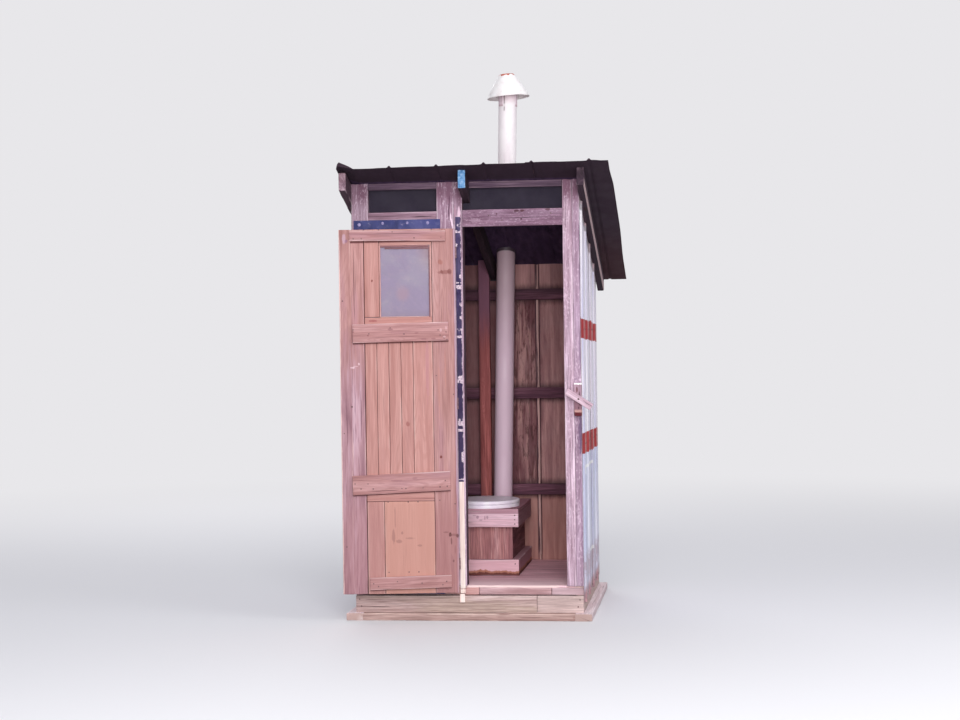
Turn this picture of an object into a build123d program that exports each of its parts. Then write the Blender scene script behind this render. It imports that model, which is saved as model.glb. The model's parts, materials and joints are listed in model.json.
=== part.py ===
"""A wooden outhouse: shed roof of crimped sheets, ledged door, bench seat and vent pipe.

Millimetres, +Z up, the door to the front at -Y. The origin lies on the ground, under
the front base plank, midway across the frame and in the plane of the posts' front faces.
The door stands open and the seat lid is down.
"""
import os
from math import cos, radians, sin, sqrt, tan

from build123d import *

os.makedirs("parts", exist_ok=True)

# Frame and stock
frame_width = 1219.0
frame_depth = 1219.0
lumber_thick = 38.0
lumber_wide = 89.0
board_thick = 19.0
ply_thick = 12.0
sheet_thick = 2.0
fit_gap = 0.3

# Roof
eave_height = 2327.0
roof_pitch = 18.0
roof_front_reach = 223.0
roof_rear_reach = 281.0
roof_left_reach = 26.0
roof_right_reach = 170.0
roof_margin_width = 74.0
roof_margin_rise = 39.0
roof_lap_from_right = 229.0
roof_rib_pitch = 250.0
roof_far_rib_pitch = 299.0
rafter_front_reach = 150.0
rafter_tail_reach = 205.0

# Crimped sheets
rib_height = 10.0
rib_foot = 12.0
rib_crest = 3.0
lap_width = 32.0
wall_rib_count = 4
side_first_rib = 60.0
rear_last_rib_from_right = 41.0
sheet_foot_height = 88.0
side_sheet_tail = 26.0

# Base and floor
plank_spread = 46.0
front_plank_reach = 62.0
sill_reach = 24.0
floor_setback = 25.0
bearer_margin = 6.0
pit_hole_width = 288.0
pit_hole_length = 505.0

# Front wall
centre_board_from_right = 759.0
jamb_from_right = 670.0
jamb_width = 48.0
inner_post_width = 51.0
header_bottom = 2087.0
transom_sill_bottom = 2131.0
transom_sill_height = 41.0
top_plate_bottom = 2292.0
screen_lap = 12.0
panel_left = 11.0
panel_lap = 19.0
panel_bottom = 135.0
strip_inset = 11.0
strip_width = 28.0
strip_bottom = 732.0
strip_top = 2140.0
strip_thick = 1.5
lath_inset = 13.0
lath_width = 27.0
lath_foot_height = 44.0
lath_foot_bottom = 94.0

# Rear and side framing
rear_stud_from_right = 686.0
rear_stud_width = 64.0
side_girt_heights = (875.0, 1491.0)
rear_girt_heights = (566.0, 1136.0, 1719.0)
rear_girt_height = 64.0

# Door, in its own frame: along from the hinge pin, out from the pin to the frame, up
door_open_angle = 172.0
door_gap = 7.0
hinge_edge_gap = 3.0
door_overhang = 81.0
door_bottom = 148.0
door_top = 2076.0
hinge_pin_inset = 14.0
hinge_stile_width = 123.0
free_stile_width = 69.0
free_edge_width = 59.0
board_gap = 2.0
window_left_gap = 79.0
window_bottom = 1611.0
strip_board_height = 52.0
window_top = 1990.0
bead_width = 10.0
bead_depth = 8.0
pane_thick = 4.0
lower_seam = 714.0
foot_strip_height = 76.0
wide_board_width = 103.0
middle_board_count = 4
lower_board_width = 91.0
rail_thick = 19.0
rail_clearance = 8.0
top_rail_height = 55.0
top_rail_middle = 2041.0
middle_rail_height = 99.0
middle_rail_drop = 29.0
lower_rail_height = 102.0
lower_rail_rise = 20.0
bottom_rail_height = 66.0
bottom_rail_middle = 208.0
bottom_rail_short = 84.0

# Hinges
knuckle_radius = 5.5
pin_radius = 2.5
leaf_thick = 2.0
leaf_width = 52.0
leaf_height = 60.0
middle_knuckle = 20.0
hinge_heights = (300.0, 1150.0, 1950.0)
hinge_stand = 6.0
crank_reach = 10.0

# Turn button
block_width = 40.0
block_height = 182.0
block_bottom = 1078.0
button_clearance = 5.5
button_height = 1168.0
button_width = 36.0
button_thick = 18.0
button_stub = 13.0
button_arm = 80.0
button_droop = 33.0
screw_radius = 4.0
screw_depth = 22.0
screw_head_radius = 9.0
screw_head_thick = 4.0

# Bench and seat
bench_from_right = 799.0
bench_width = 408.0
bench_front_from_rear = 779.0
bench_height = 358.0
seat_centre_from_right = 591.0
seat_width = 370.0
seat_length = 410.0
seat_setback = 7.0
seat_hole_width = 230.0
seat_hole_length = 290.0
ring_thick = 20.0
lid_gap = 2.0
lid_thick = 18.0
lid_edge_radius = 8.0
lid_pin_radius = 4.0
lid_barrel_radius = 8.0
lid_barrel_length = 110.0
lid_ear_width = 20.0
lid_hinge_set_back = 17.0

# Vent pipe and cap
pipe_radius = 53.5
pipe_wall = 3.0
pipe_foot_from_right = 548.0
pipe_from_rear = 219.0
pipe_lean = 1.42
pipe_top = 2915.0
pipe_roof_gap = 3.0
pipe_bench_gap = 0.5
cap_rim_radius = 118.5
cap_top_radius = 45.0
cap_height = 137.0
cap_bulge = 5.0
cap_drop = 25.0
cap_thick = 2.0
strap_count = 3
strap_width = 20.0
strap_drop = 60.0

# Derived places
left_face = -frame_width / 2
right_face = frame_width / 2
base_top = lumber_thick
sill_top = base_top + lumber_wide
bearer_top = sill_top + lumber_thick
floor_top = bearer_top + ply_thick
slope = tan(radians(roof_pitch))
rafter_drop = lumber_wide / cos(radians(roof_pitch))
centre_board_x = right_face - centre_board_from_right
jamb_x = right_face - jamb_from_right
jamb_right = jamb_x + jamb_width
doorway_right = right_face - lumber_thick - inner_post_width
doorway_width = doorway_right - jamb_right
header_top = header_bottom + lumber_wide
pipe_depth = frame_depth - pipe_from_rear


def roof_under(y):
    """Height of the roof's underside at a distance behind the front faces."""
    return eave_height - slope * y


def block(x, y, z):
    """Add a box that spans the three (low, high) ranges to the open part."""
    with Locations((x[0], y[0], z[0])):
        Box(x[1] - x[0], y[1] - y[0], z[1] - z[0], align=(Align.MIN, Align.MIN, Align.MIN))


def upright(x, y, foot):
    """Add a post, or a plate, whose top is cut to the slope of the roof."""
    with BuildSketch(Plane.YZ.offset(x[0])) as side:
        with BuildLine():
            Polyline(
                (y[0], foot),
                (y[1], foot),
                (y[1], roof_under(y[1])),
                (y[0], roof_under(y[0])),
                close=True,
            )
        make_face()
    extrude(side.sketch, amount=x[1] - x[0])


def crimped_sheet(plane, start, stop, ribs, length, lift=0.0, lead=()):
    """Add a sheet with raised ribs, drawn along the plane's x and extruded behind it.

    lift raises the edge before the first rib, where the sheet laps over its neighbour.
    lead holds points before the start, where the edge is bent up.
    """
    under = list(lead)
    under.append((start, lift))
    level = lift
    for centre in ribs:
        under.append((centre - rib_foot, level))
        under.append((centre - rib_crest, rib_height))
        under.append((centre + rib_crest, rib_height))
        under.append((centre + rib_foot, 0.0))
        level = 0.0
    under.append((stop, 0.0))
    over = [(along, height + sheet_thick) for along, height in reversed(under)]
    with BuildSketch(plane) as section:
        with BuildLine():
            Polyline(*under, *over, close=True)
        make_face()
    extrude(section.sketch, amount=-length)


# Base planks, laid flat on the ground
plank_left = left_face - plank_spread
plank_right = right_face + plank_spread
plank_rear = frame_depth + plank_spread

with BuildPart() as base_planks_side:
    block((plank_left, plank_left + lumber_wide), (-front_plank_reach, plank_rear), (0, base_top))
    block((plank_right - lumber_wide, plank_right), (-front_plank_reach, plank_rear), (0, base_top))
base_planks_side.part.label = "base_planks_side"
export_step(base_planks_side.part, "parts/base_planks_side.step")

between_planks = (plank_left + lumber_wide, plank_right - lumber_wide)

with BuildPart() as base_plank_front:
    block(between_planks, (-front_plank_reach, lumber_wide - front_plank_reach), (0, base_top))
base_plank_front.part.label = "base_plank_front"
export_step(base_plank_front.part, "parts/base_plank_front.step")

with BuildPart() as base_plank_rear:
    block(between_planks, (plank_rear - lumber_wide, plank_rear), (0, base_top))
base_plank_rear.part.label = "base_plank_rear"
export_step(base_plank_rear.part, "parts/base_plank_rear.step")

# Sills, on edge over the base planks
sill_front_back = lumber_thick - sill_reach

with BuildPart() as sill_front:
    block((left_face, right_face), (-sill_reach, sill_front_back), (base_top, sill_top))
sill_front.part.label = "sill_front"
export_step(sill_front.part, "parts/sill_front.step")

with BuildPart() as sill_rear:
    block(
        (left_face + lumber_thick, right_face - lumber_thick),
        (frame_depth - lumber_thick, frame_depth),
        (base_top, sill_top),
    )
sill_rear.part.label = "sill_rear"
export_step(sill_rear.part, "parts/sill_rear.step")

with BuildPart() as sills_side:
    block((left_face, left_face + lumber_thick), (sill_front_back, frame_depth), (base_top, sill_top))
    block((right_face - lumber_thick, right_face), (sill_front_back, frame_depth), (base_top, sill_top))
sills_side.part.label = "sills_side"
export_step(sills_side.part, "parts/sills_side.step")

# Floor: flat bearers across the side sills, and a deck with the pit hole in it
seat_x = right_face - seat_centre_from_right
pit_hole_rear = pipe_depth
pit_hole_front = pit_hole_rear - pit_hole_length
bearer_starts = (
    floor_setback,
    pit_hole_front - bearer_margin - lumber_wide,
    pit_hole_rear + bearer_margin,
    frame_depth - lumber_wide,
)

with BuildPart() as floor_bearers:
    for bearer_start in bearer_starts:
        block((left_face, right_face), (bearer_start, bearer_start + lumber_wide), (sill_top, bearer_top))
floor_bearers.part.label = "floor_bearers"
export_step(floor_bearers.part, "parts/floor_bearers.step")

with BuildPart() as floor_deck:
    block((left_face, right_face), (floor_setback, frame_depth), (bearer_top, floor_top))
    with Locations((seat_x, pit_hole_front, bearer_top)):
        Box(
            pit_hole_width,
            pit_hole_length,
            ply_thick,
            align=(Align.CENTER, Align.MIN, Align.MIN),
            mode=Mode.SUBTRACT,
        )
floor_deck.part.label = "floor_deck"
export_step(floor_deck.part, "parts/floor_deck.step")

# Posts of the front wall
with BuildPart() as front_left_post:
    upright((left_face, left_face + lumber_wide), (0, lumber_wide), floor_top)
front_left_post.part.label = "front_left_post"
export_step(front_left_post.part, "parts/front_left_post.step")

with BuildPart() as centre_board:
    upright((centre_board_x, jamb_x), (0, lumber_thick), floor_top)
centre_board.part.label = "centre_board"
export_step(centre_board.part, "parts/centre_board.step")

with BuildPart() as door_jamb:
    upright((jamb_x, jamb_right), (0, lumber_wide), floor_top)
door_jamb.part.label = "door_jamb"
export_step(door_jamb.part, "parts/door_jamb.step")

outer_post_x = right_face - lumber_thick

with BuildPart() as right_post_inner:
    upright((doorway_right, outer_post_x), (0, lumber_wide), floor_top)
right_post_inner.part.label = "right_post_inner"
export_step(right_post_inner.part, "parts/right_post_inner.step")

with BuildPart() as right_post_outer:
    upright((outer_post_x, right_face), (0, lumber_wide), floor_top)
right_post_outer.part.label = "right_post_outer"
export_step(right_post_outer.part, "parts/right_post_outer.step")

# Posts of the rear wall, inside its girts
rear_post_back = frame_depth - lumber_thick
rear_post_front = rear_post_back - lumber_wide
rear_stud_x = right_face - rear_stud_from_right

with BuildPart() as rear_posts:
    upright((left_face, left_face + lumber_wide), (rear_post_front, rear_post_back), floor_top)
    upright((right_face - lumber_wide, right_face), (rear_post_front, rear_post_back), floor_top)
rear_posts.part.label = "rear_posts"
export_step(rear_posts.part, "parts/rear_posts.step")

with BuildPart() as rear_stud:
    upright(
        (rear_stud_x, rear_stud_x + rear_stud_width),
        (rear_post_back - lumber_thick, rear_post_back),
        floor_top,
    )
rear_stud.part.label = "rear_stud"
export_step(rear_stud.part, "parts/rear_stud.step")

# Header, transom sill and top plates between the front posts
left_bay = (left_face + lumber_wide, centre_board_x)
rafter_centre_x = rear_stud_x + rear_stud_width
right_plate_x = rafter_centre_x + lumber_thick

with BuildPart() as door_header:
    block((jamb_right, doorway_right), (0, lumber_thick), (header_bottom, header_top))
door_header.part.label = "door_header"
export_step(door_header.part, "parts/door_header.step")

transom_sill_top = transom_sill_bottom + transom_sill_height

with BuildPart() as transom_sill:
    block(left_bay, (0, lumber_thick), (transom_sill_bottom, transom_sill_top))
transom_sill.part.label = "transom_sill"
export_step(transom_sill.part, "parts/transom_sill.step")

with BuildPart() as top_plates:
    upright(left_bay, (0, lumber_thick), top_plate_bottom)
    upright((right_plate_x, doorway_right), (0, lumber_thick), top_plate_bottom)
top_plates.part.label = "top_plates"
export_step(top_plates.part, "parts/top_plates.step")

# Insect screens, stapled behind the rails of the two transoms
screen_back = lumber_thick + sheet_thick
screen_top = top_plate_bottom + screen_lap

with BuildPart() as transom_screens:
    block(left_bay, (lumber_thick, screen_back), (transom_sill_top - screen_lap, screen_top))
    block(
        (right_plate_x, doorway_right),
        (lumber_thick, screen_back),
        (header_top - screen_lap, screen_top),
    )
transom_screens.part.label = "transom_screens"
export_step(transom_screens.part, "parts/transom_screens.step")

# Sheet over the left bay, cover strip on the jamb, and the lath below it
with BuildPart() as bay_panel:
    block(
        (left_face + panel_left, centre_board_x + panel_lap),
        (-sheet_thick, 0),
        (panel_bottom, transom_sill_bottom),
    )
bay_panel.part.label = "bay_panel"
export_step(bay_panel.part, "parts/bay_panel.step")

strip_x = jamb_x + strip_inset

with BuildPart() as jamb_strip:
    block((strip_x, strip_x + strip_width), (-strip_thick, 0), (strip_bottom, strip_top))
jamb_strip.part.label = "jamb_strip"
export_step(jamb_strip.part, "parts/jamb_strip.step")

lath_x = jamb_x + lath_inset

with BuildPart() as jamb_lath:
    block((lath_x, lath_x + lath_width), (-strip_thick, 0), (floor_top, strip_bottom))
    block(
        (lath_x, lath_x + lath_width),
        (-sill_reach - ply_thick, -sill_reach),
        (lath_foot_bottom, lath_foot_bottom + lath_foot_height),
    )
jamb_lath.part.label = "jamb_lath"
export_step(jamb_lath.part, "parts/jamb_lath.step")

# Girts
with BuildPart() as left_girts:
    for girt_height in side_girt_heights:
        block(
            (left_face, left_face + lumber_thick),
            (lumber_wide, rear_post_front),
            (girt_height, girt_height + lumber_wide),
        )
left_girts.part.label = "left_girts"
export_step(left_girts.part, "parts/left_girts.step")

with BuildPart() as right_girts:
    for girt_height in side_girt_heights:
        block(
            (right_face - lumber_thick, right_face),
            (lumber_wide, rear_post_front),
            (girt_height, girt_height + lumber_wide),
        )
right_girts.part.label = "right_girts"
export_step(right_girts.part, "parts/right_girts.step")

with BuildPart() as rear_girts:
    for girt_height in rear_girt_heights:
        block(
            (left_face, right_face),
            (rear_post_back, frame_depth),
            (girt_height, girt_height + rear_girt_height),
        )
rear_girts.part.label = "rear_girts"
export_step(rear_girts.part, "parts/rear_girts.step")

# Rafters, nailed to the sides of the posts
rafter_front = -rafter_front_reach
rafter_tail = frame_depth + rafter_tail_reach
rafter_starts = {
    "left_rafter": left_face - lumber_thick,
    "centre_rafter": rafter_centre_x,
    "right_rafter": right_face,
}

for rafter_name, rafter_x in rafter_starts.items():
    with BuildPart() as rafter:
        with BuildSketch(Plane.YZ.offset(rafter_x)) as rafter_side:
            with BuildLine():
                Polyline(
                    (rafter_front, roof_under(rafter_front)),
                    (rafter_front, roof_under(rafter_front) - rafter_drop),
                    (rafter_tail, roof_under(rafter_tail) - rafter_drop),
                    (rafter_tail, roof_under(rafter_tail)),
                    close=True,
                )
            make_face()
        extrude(amount=lumber_thick)
    rafter.part.label = rafter_name
    export_step(rafter.part, f"parts/{rafter_name}.step")

# Vent pipe, leaning to the right, with its foot on the rear edge of the pit hole
pipe_x = right_face - pipe_foot_from_right
pipe_axis = Plane(
    origin=(pipe_x, pipe_depth, floor_top),
    x_dir=(cos(radians(pipe_lean)), 0, -sin(radians(pipe_lean))),
    z_dir=(sin(radians(pipe_lean)), 0, cos(radians(pipe_lean))),
)
pipe_length = (pipe_top - floor_top) / cos(radians(pipe_lean))
pipe_foot_allowance = 2 * pipe_radius * sin(radians(pipe_lean))

with BuildPart() as vent_pipe:
    with BuildSketch(pipe_axis.offset(-pipe_foot_allowance)):
        Circle(pipe_radius)
        Circle(pipe_radius - pipe_wall, mode=Mode.SUBTRACT)
    extrude(amount=pipe_length + pipe_foot_allowance)
    split(bisect_by=Plane.XY.offset(floor_top), keep=Keep.TOP)
vent_pipe.part.label = "vent_pipe"
export_step(vent_pipe.part, "parts/vent_pipe.step")


def pipe_passage(clearance):
    """Cut the way for the leaning pipe out of the open part."""
    with BuildSketch(pipe_axis) as bore:
        Circle(pipe_radius + clearance)
    extrude(bore.sketch, amount=pipe_length, mode=Mode.SUBTRACT)


# Vent cap: an open cone over the pipe on three bent straps
cap_plane = pipe_axis.offset(pipe_length - cap_drop)
cap_inner_rim = cap_rim_radius - cap_thick
cap_inner_height = cap_height - cap_thick
middle_radius = (cap_rim_radius + cap_top_radius) / 2

with BuildPart() as vent_cap:
    with BuildSketch(Plane(cap_plane.origin, x_dir=cap_plane.x_dir, z_dir=-cap_plane.y_dir)):
        with BuildLine():
            ThreePointArc(
                (cap_rim_radius, 0),
                (middle_radius + cap_bulge, cap_height / 2),
                (cap_top_radius, cap_height),
            )
            Line((cap_top_radius, cap_height), (0, cap_height))
            Line((0, cap_height), (0, cap_inner_height))
            Line((0, cap_inner_height), (cap_top_radius - cap_thick, cap_inner_height))
            ThreePointArc(
                (cap_top_radius - cap_thick, cap_inner_height),
                (middle_radius + cap_bulge - cap_thick, cap_inner_height / 2),
                (cap_inner_rim, 0),
            )
            Line((cap_inner_rim, 0), (cap_rim_radius, 0))
        make_face()
    revolve(axis=Axis(cap_plane.origin, cap_plane.z_dir))
vent_cap.part.label = "vent_cap"
export_step(vent_cap.part, "parts/vent_cap.step")

strap_inner = pipe_radius + pipe_bench_gap
strap_knee = cap_drop + cap_thick
strap_end_rise = cap_drop / 2
strap_share = (strap_knee + strap_end_rise) / cap_inner_height
strap_end_bulge = 4 * cap_bulge * strap_share * (1 - strap_share)
strap_end_chord = cap_inner_rim - (cap_inner_rim - cap_top_radius + cap_thick) * strap_share
strap_end_reach = strap_end_chord + strap_end_bulge
strap_end_radius = sqrt(strap_end_reach**2 - (strap_width / 2) ** 2) - fit_gap
cap_spin = Axis((0, 0, 0), cap_plane.z_dir)

with BuildPart() as cap_straps:
    for turn in range(strap_count):
        outward = cap_plane.x_dir.rotate(cap_spin, 360 / strap_count * turn)
        strap_side = Plane(cap_plane.origin, x_dir=outward, z_dir=outward.cross(cap_plane.z_dir))
        with BuildSketch(strap_side.offset(-strap_width / 2)):
            with BuildLine():
                Polyline(
                    (strap_inner, -strap_drop),
                    (strap_inner, strap_knee),
                    (strap_end_radius, strap_knee + strap_end_rise),
                    (strap_end_radius, strap_knee + strap_end_rise - cap_thick),
                    (strap_inner + cap_thick, strap_knee - cap_thick),
                    (strap_inner + cap_thick, -strap_drop),
                    close=True,
                )
            make_face()
        extrude(amount=strap_width)
cap_straps.part.label = "cap_straps"
export_step(cap_straps.part, "parts/cap_straps.step")

# Roof sheets: the right one laps over the left one, whose outer margin is bent up
roof_left = left_face - roof_left_reach
roof_right = right_face + roof_right_reach
roof_lap = right_face - roof_lap_from_right
roof_length = (roof_front_reach + frame_depth + roof_rear_reach) / cos(radians(roof_pitch))
roof_plane = Plane(
    origin=(0, -roof_front_reach, roof_under(-roof_front_reach)),
    x_dir=(1, 0, 0),
    z_dir=(0, -cos(radians(roof_pitch)), sin(radians(roof_pitch))),
)
roof_left_ribs = [roof_lap - roof_rib_pitch * step for step in (3, 2, 1)]
lap_lift = sheet_thick + fit_gap

with BuildPart() as roof_sheets:
    crimped_sheet(
        roof_plane,
        roof_left + roof_margin_width,
        roof_lap,
        roof_left_ribs,
        roof_length,
        lead=[(roof_left, roof_margin_rise)],
    )
    pipe_passage(pipe_roof_gap)
    crimped_sheet(
        roof_plane,
        roof_lap - lap_width,
        roof_right,
        [roof_lap, roof_lap + roof_far_rib_pitch],
        roof_length,
        lift=lap_lift,
    )
roof_sheets.part.label = "roof_sheets"
export_step(roof_sheets.part, "parts/roof_sheets.step")

# Wall sheets, nailed outside the posts, girts and sills
under_rafters = Plane(
    origin=(0, 0, roof_under(0) - rafter_drop),
    x_dir=(1, 0, 0),
    z_dir=(0, sin(radians(roof_pitch)), cos(radians(roof_pitch))),
)
side_sheet_end = frame_depth + side_sheet_tail
side_rib_pitch = frame_depth / wall_rib_count
side_lap = side_first_rib + 2 * side_rib_pitch
side_sheet_length = eave_height - sheet_foot_height

wall_planes = {
    "left_wall_sheets": Plane((left_face, 0, sheet_foot_height), x_dir=(0, 1, 0), z_dir=(0, 0, 1)),
    "right_wall_sheets": Plane((right_face, 0, sheet_foot_height), x_dir=(0, 1, 0), z_dir=(0, 0, -1)),
}

for wall_name, wall_plane in wall_planes.items():
    upward = -side_sheet_length * wall_plane.z_dir.Z
    with BuildPart() as side_sheets:
        crimped_sheet(
            wall_plane,
            0.0,
            side_lap,
            [side_first_rib, side_first_rib + side_rib_pitch],
            upward,
        )
        crimped_sheet(
            wall_plane,
            side_lap - lap_width,
            side_sheet_end,
            [side_lap, side_lap + side_rib_pitch],
            upward,
            lift=lap_lift,
        )
        split(bisect_by=under_rafters, keep=Keep.BOTTOM)
    side_sheets.part.label = wall_name
    export_step(side_sheets.part, f"parts/{wall_name}.step")

rear_plane = Plane((left_face, frame_depth, sheet_foot_height), x_dir=(1, 0, 0), z_dir=(0, 0, 1))
rear_rib_pitch = frame_width / wall_rib_count
rear_lap = frame_width - rear_last_rib_from_right - rear_rib_pitch
rear_sheet_top = roof_under(frame_depth + rib_height + sheet_thick)
rear_sheet_length = rear_sheet_top - sheet_foot_height

with BuildPart() as rear_wall_sheets:
    crimped_sheet(
        rear_plane,
        0.0,
        rear_lap,
        [rear_lap - 2 * rear_rib_pitch, rear_lap - rear_rib_pitch],
        -rear_sheet_length,
    )
    crimped_sheet(
        rear_plane,
        rear_lap - lap_width,
        frame_width,
        [rear_lap, rear_lap + rear_rib_pitch],
        -rear_sheet_length,
        lift=lap_lift,
    )
    with Locations((rafter_centre_x - fit_gap, frame_depth, rear_sheet_top)):
        Box(
            lumber_thick + 2 * fit_gap,
            lumber_wide,
            2 * rafter_drop,
            align=(Align.MIN, Align.CENTER, Align.CENTER),
            mode=Mode.SUBTRACT,
        )
rear_wall_sheets.part.label = "rear_wall_sheets"
export_step(rear_wall_sheets.part, "parts/rear_wall_sheets.step")

# Bench: two bands of lumber round a plywood box, and the top
bench_front = frame_depth - bench_front_from_rear
bench_x = right_face - bench_from_right
bench_far_x = bench_x + bench_width
bench_rear = rear_post_back - lumber_thick
bench_top_under = floor_top + bench_height
bench_top_over = bench_top_under + ply_thick
box_x = bench_x + lumber_thick
box_far_x = bench_far_x - lumber_thick
box_front = bench_front + lumber_thick


def bench_band(bottom):
    """Add three sides of a band on edge round the bench."""
    height = (bottom, bottom + lumber_wide)
    block((bench_x, bench_far_x), (bench_front, box_front), height)
    block((bench_x, box_x), (box_front, bench_rear), height)
    block((box_far_x, bench_far_x), (box_front, bench_rear), height)


with BuildPart() as bench_base_band:
    bench_band(floor_top)
bench_base_band.part.label = "bench_base_band"
export_step(bench_base_band.part, "parts/bench_base_band.step")

with BuildPart() as bench_top_band:
    bench_band(bench_top_under - lumber_wide)
bench_top_band.part.label = "bench_top_band"
export_step(bench_top_band.part, "parts/bench_top_band.step")

with BuildPart() as bench_front_panel:
    block((box_x, box_far_x), (box_front, box_front + ply_thick), (floor_top, bench_top_under))
bench_front_panel.part.label = "bench_front_panel"
export_step(bench_front_panel.part, "parts/bench_front_panel.step")

with BuildPart() as bench_side_panels:
    side_run = (box_front + ply_thick, bench_rear)
    block((box_x, box_x + ply_thick), side_run, (floor_top, bench_top_under))
    block((box_far_x - ply_thick, box_far_x), side_run, (floor_top, bench_top_under))
bench_side_panels.part.label = "bench_side_panels"
export_step(bench_side_panels.part, "parts/bench_side_panels.step")

seat_front = bench_front + seat_setback
seat_middle = seat_front + seat_length / 2

with BuildPart() as bench_top:
    block((bench_x, bench_far_x), (bench_front, bench_rear), (bench_top_under, bench_top_over))
    with BuildSketch(Plane.XY.offset(bench_top_under)):
        with Locations((seat_x, seat_middle)):
            Ellipse(seat_hole_width / 2, seat_hole_length / 2)
    extrude(amount=ply_thick, mode=Mode.SUBTRACT)
    pipe_passage(pipe_bench_gap)
bench_top.part.label = "bench_top"
export_step(bench_top.part, "parts/bench_top.step")

# Seat ring with two ears for the lid's pins
lid_axis_y = seat_front + seat_length + lid_hinge_set_back
lid_axis_z = bench_top_over + ring_thick + lid_gap
ear_starts = (
    seat_x - lid_barrel_length / 2 - lid_ear_width - fit_gap,
    seat_x + lid_barrel_length / 2 + fit_gap,
)
ear_half_depth = lid_barrel_radius + 1.0
heel_depth = 60.0
heel_thick = 10.0
lid_pin_axis = Plane((seat_x, lid_axis_y, lid_axis_z), x_dir=(0, 1, 0), z_dir=(1, 0, 0))

with BuildPart() as seat_ring:
    with BuildSketch(Plane.XY.offset(bench_top_over)):
        with Locations((seat_x, seat_middle)):
            Ellipse(seat_width / 2, seat_length / 2)
    extrude(amount=ring_thick)
    block(
        (ear_starts[0], ear_starts[1] + lid_ear_width),
        (lid_axis_y + ear_half_depth - heel_depth, lid_axis_y + ear_half_depth),
        (bench_top_over, bench_top_over + heel_thick),
    )
    for ear_x in ear_starts:
        with BuildSketch(Plane.YZ.offset(ear_x)):
            with BuildLine():
                Line((lid_axis_y - ear_half_depth, bench_top_over), (lid_axis_y + ear_half_depth, bench_top_over))
                Line((lid_axis_y + ear_half_depth, bench_top_over), (lid_axis_y + ear_half_depth, lid_axis_z))
                ThreePointArc(
                    (lid_axis_y + ear_half_depth, lid_axis_z),
                    (lid_axis_y, lid_axis_z + ear_half_depth),
                    (lid_axis_y - ear_half_depth, lid_axis_z),
                )
                Line((lid_axis_y - ear_half_depth, lid_axis_z), (lid_axis_y - ear_half_depth, bench_top_over))
            make_face()
        extrude(amount=lid_ear_width)
    with BuildSketch(Plane.XY.offset(bench_top_over)):
        with Locations((seat_x, seat_middle)):
            Ellipse(seat_hole_width / 2, seat_hole_length / 2)
    extrude(amount=ring_thick, mode=Mode.SUBTRACT)
    with BuildSketch(lid_pin_axis):
        Circle(lid_pin_radius + fit_gap)
    extrude(amount=lid_barrel_length, both=True, mode=Mode.SUBTRACT)
seat_ring.part.label = "seat_ring"
export_step(seat_ring.part, "parts/seat_ring.step")

lid_bottom = bench_top_over + ring_thick + lid_gap
neck_length = lid_hinge_set_back + seat_length / 8

with BuildPart() as seat_lid:
    with BuildSketch(Plane.XY.offset(lid_bottom)):
        with Locations((seat_x, seat_middle)):
            Ellipse(seat_width / 2, seat_length / 2)
    extrude(amount=lid_thick)
    fillet(seat_lid.faces().sort_by(Axis.Z)[-1].edges(), radius=lid_edge_radius)
    block(
        (seat_x - lid_barrel_length / 2, seat_x + lid_barrel_length / 2),
        (lid_axis_y - neck_length, lid_axis_y),
        (lid_bottom, lid_axis_z + lid_barrel_radius),
    )
    with BuildSketch(lid_pin_axis):
        Circle(lid_barrel_radius)
    extrude(amount=lid_barrel_length / 2, both=True)
    with BuildSketch(lid_pin_axis):
        Circle(lid_pin_radius)
    extrude(amount=lid_barrel_length / 2 + lid_ear_width, both=True)
seat_lid.part.label = "seat_lid"
export_step(seat_lid.part, "parts/seat_lid.step")

# Door, drawn in a frame that stands at the hinge pin and turns with it
pin_x = jamb_x + hinge_pin_inset
pin_y = -(door_gap + board_thick + hinge_stand)
open_turn = radians(door_open_angle)
door_plane = Plane(
    origin=(pin_x, pin_y, 0),
    x_dir=(cos(open_turn), -sin(open_turn), 0),
    z_dir=(0, 0, 1),
)
outer_side = hinge_stand
inner_side = hinge_stand + board_thick
board_depth = (outer_side, inner_side)
door_height = (door_bottom, door_top)
hinge_edge = hinge_edge_gap
free_edge = hinge_edge + doorway_width + door_overhang
hinge_stile_edge = hinge_edge + hinge_stile_width
free_stile_edge = free_edge - free_edge_width - board_gap - free_stile_width
panel_start = hinge_stile_edge + board_gap
panel_stop = free_stile_edge - board_gap
window_stop = panel_stop - window_left_gap - board_gap
middle_seam = window_bottom - strip_board_height
foot_seam = lower_seam - foot_strip_height - board_gap
wide_board_stop = panel_start + wide_board_width
middle_board_pitch = (panel_stop - wide_board_stop) / middle_board_count

with BuildPart(door_plane) as door_stiles:
    block((hinge_edge, hinge_stile_edge), board_depth, door_height)
    block((free_stile_edge, free_stile_edge + free_stile_width), board_depth, door_height)
    block((free_edge - free_edge_width, free_edge), board_depth, door_height)
door_stiles.part.label = "door_stiles"
export_step(door_stiles.part, "parts/door_stiles.step")

with BuildPart(door_plane) as door_boards:
    block((panel_start, window_stop), board_depth, (window_top, door_top))
    block((window_stop + board_gap, panel_stop), board_depth, (window_bottom + board_gap, door_top))
    block((panel_start, panel_stop), board_depth, (middle_seam + board_gap, window_bottom))
    block((panel_start, wide_board_stop), board_depth, (lower_seam + board_gap, middle_seam))
    for place in range(middle_board_count):
        board_start = wide_board_stop + board_gap + place * middle_board_pitch
        board_stop = wide_board_stop + (place + 1) * middle_board_pitch
        block((board_start, board_stop), board_depth, (lower_seam + board_gap, middle_seam))
    block((panel_start, panel_stop), board_depth, (foot_seam + board_gap, lower_seam))
    block((panel_start, panel_stop - lower_board_width - board_gap), board_depth, (door_bottom, foot_seam))
    block((panel_stop - lower_board_width, panel_stop), board_depth, (door_bottom, foot_seam))
door_boards.part.label = "door_boards"
export_step(door_boards.part, "parts/door_boards.step")

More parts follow.
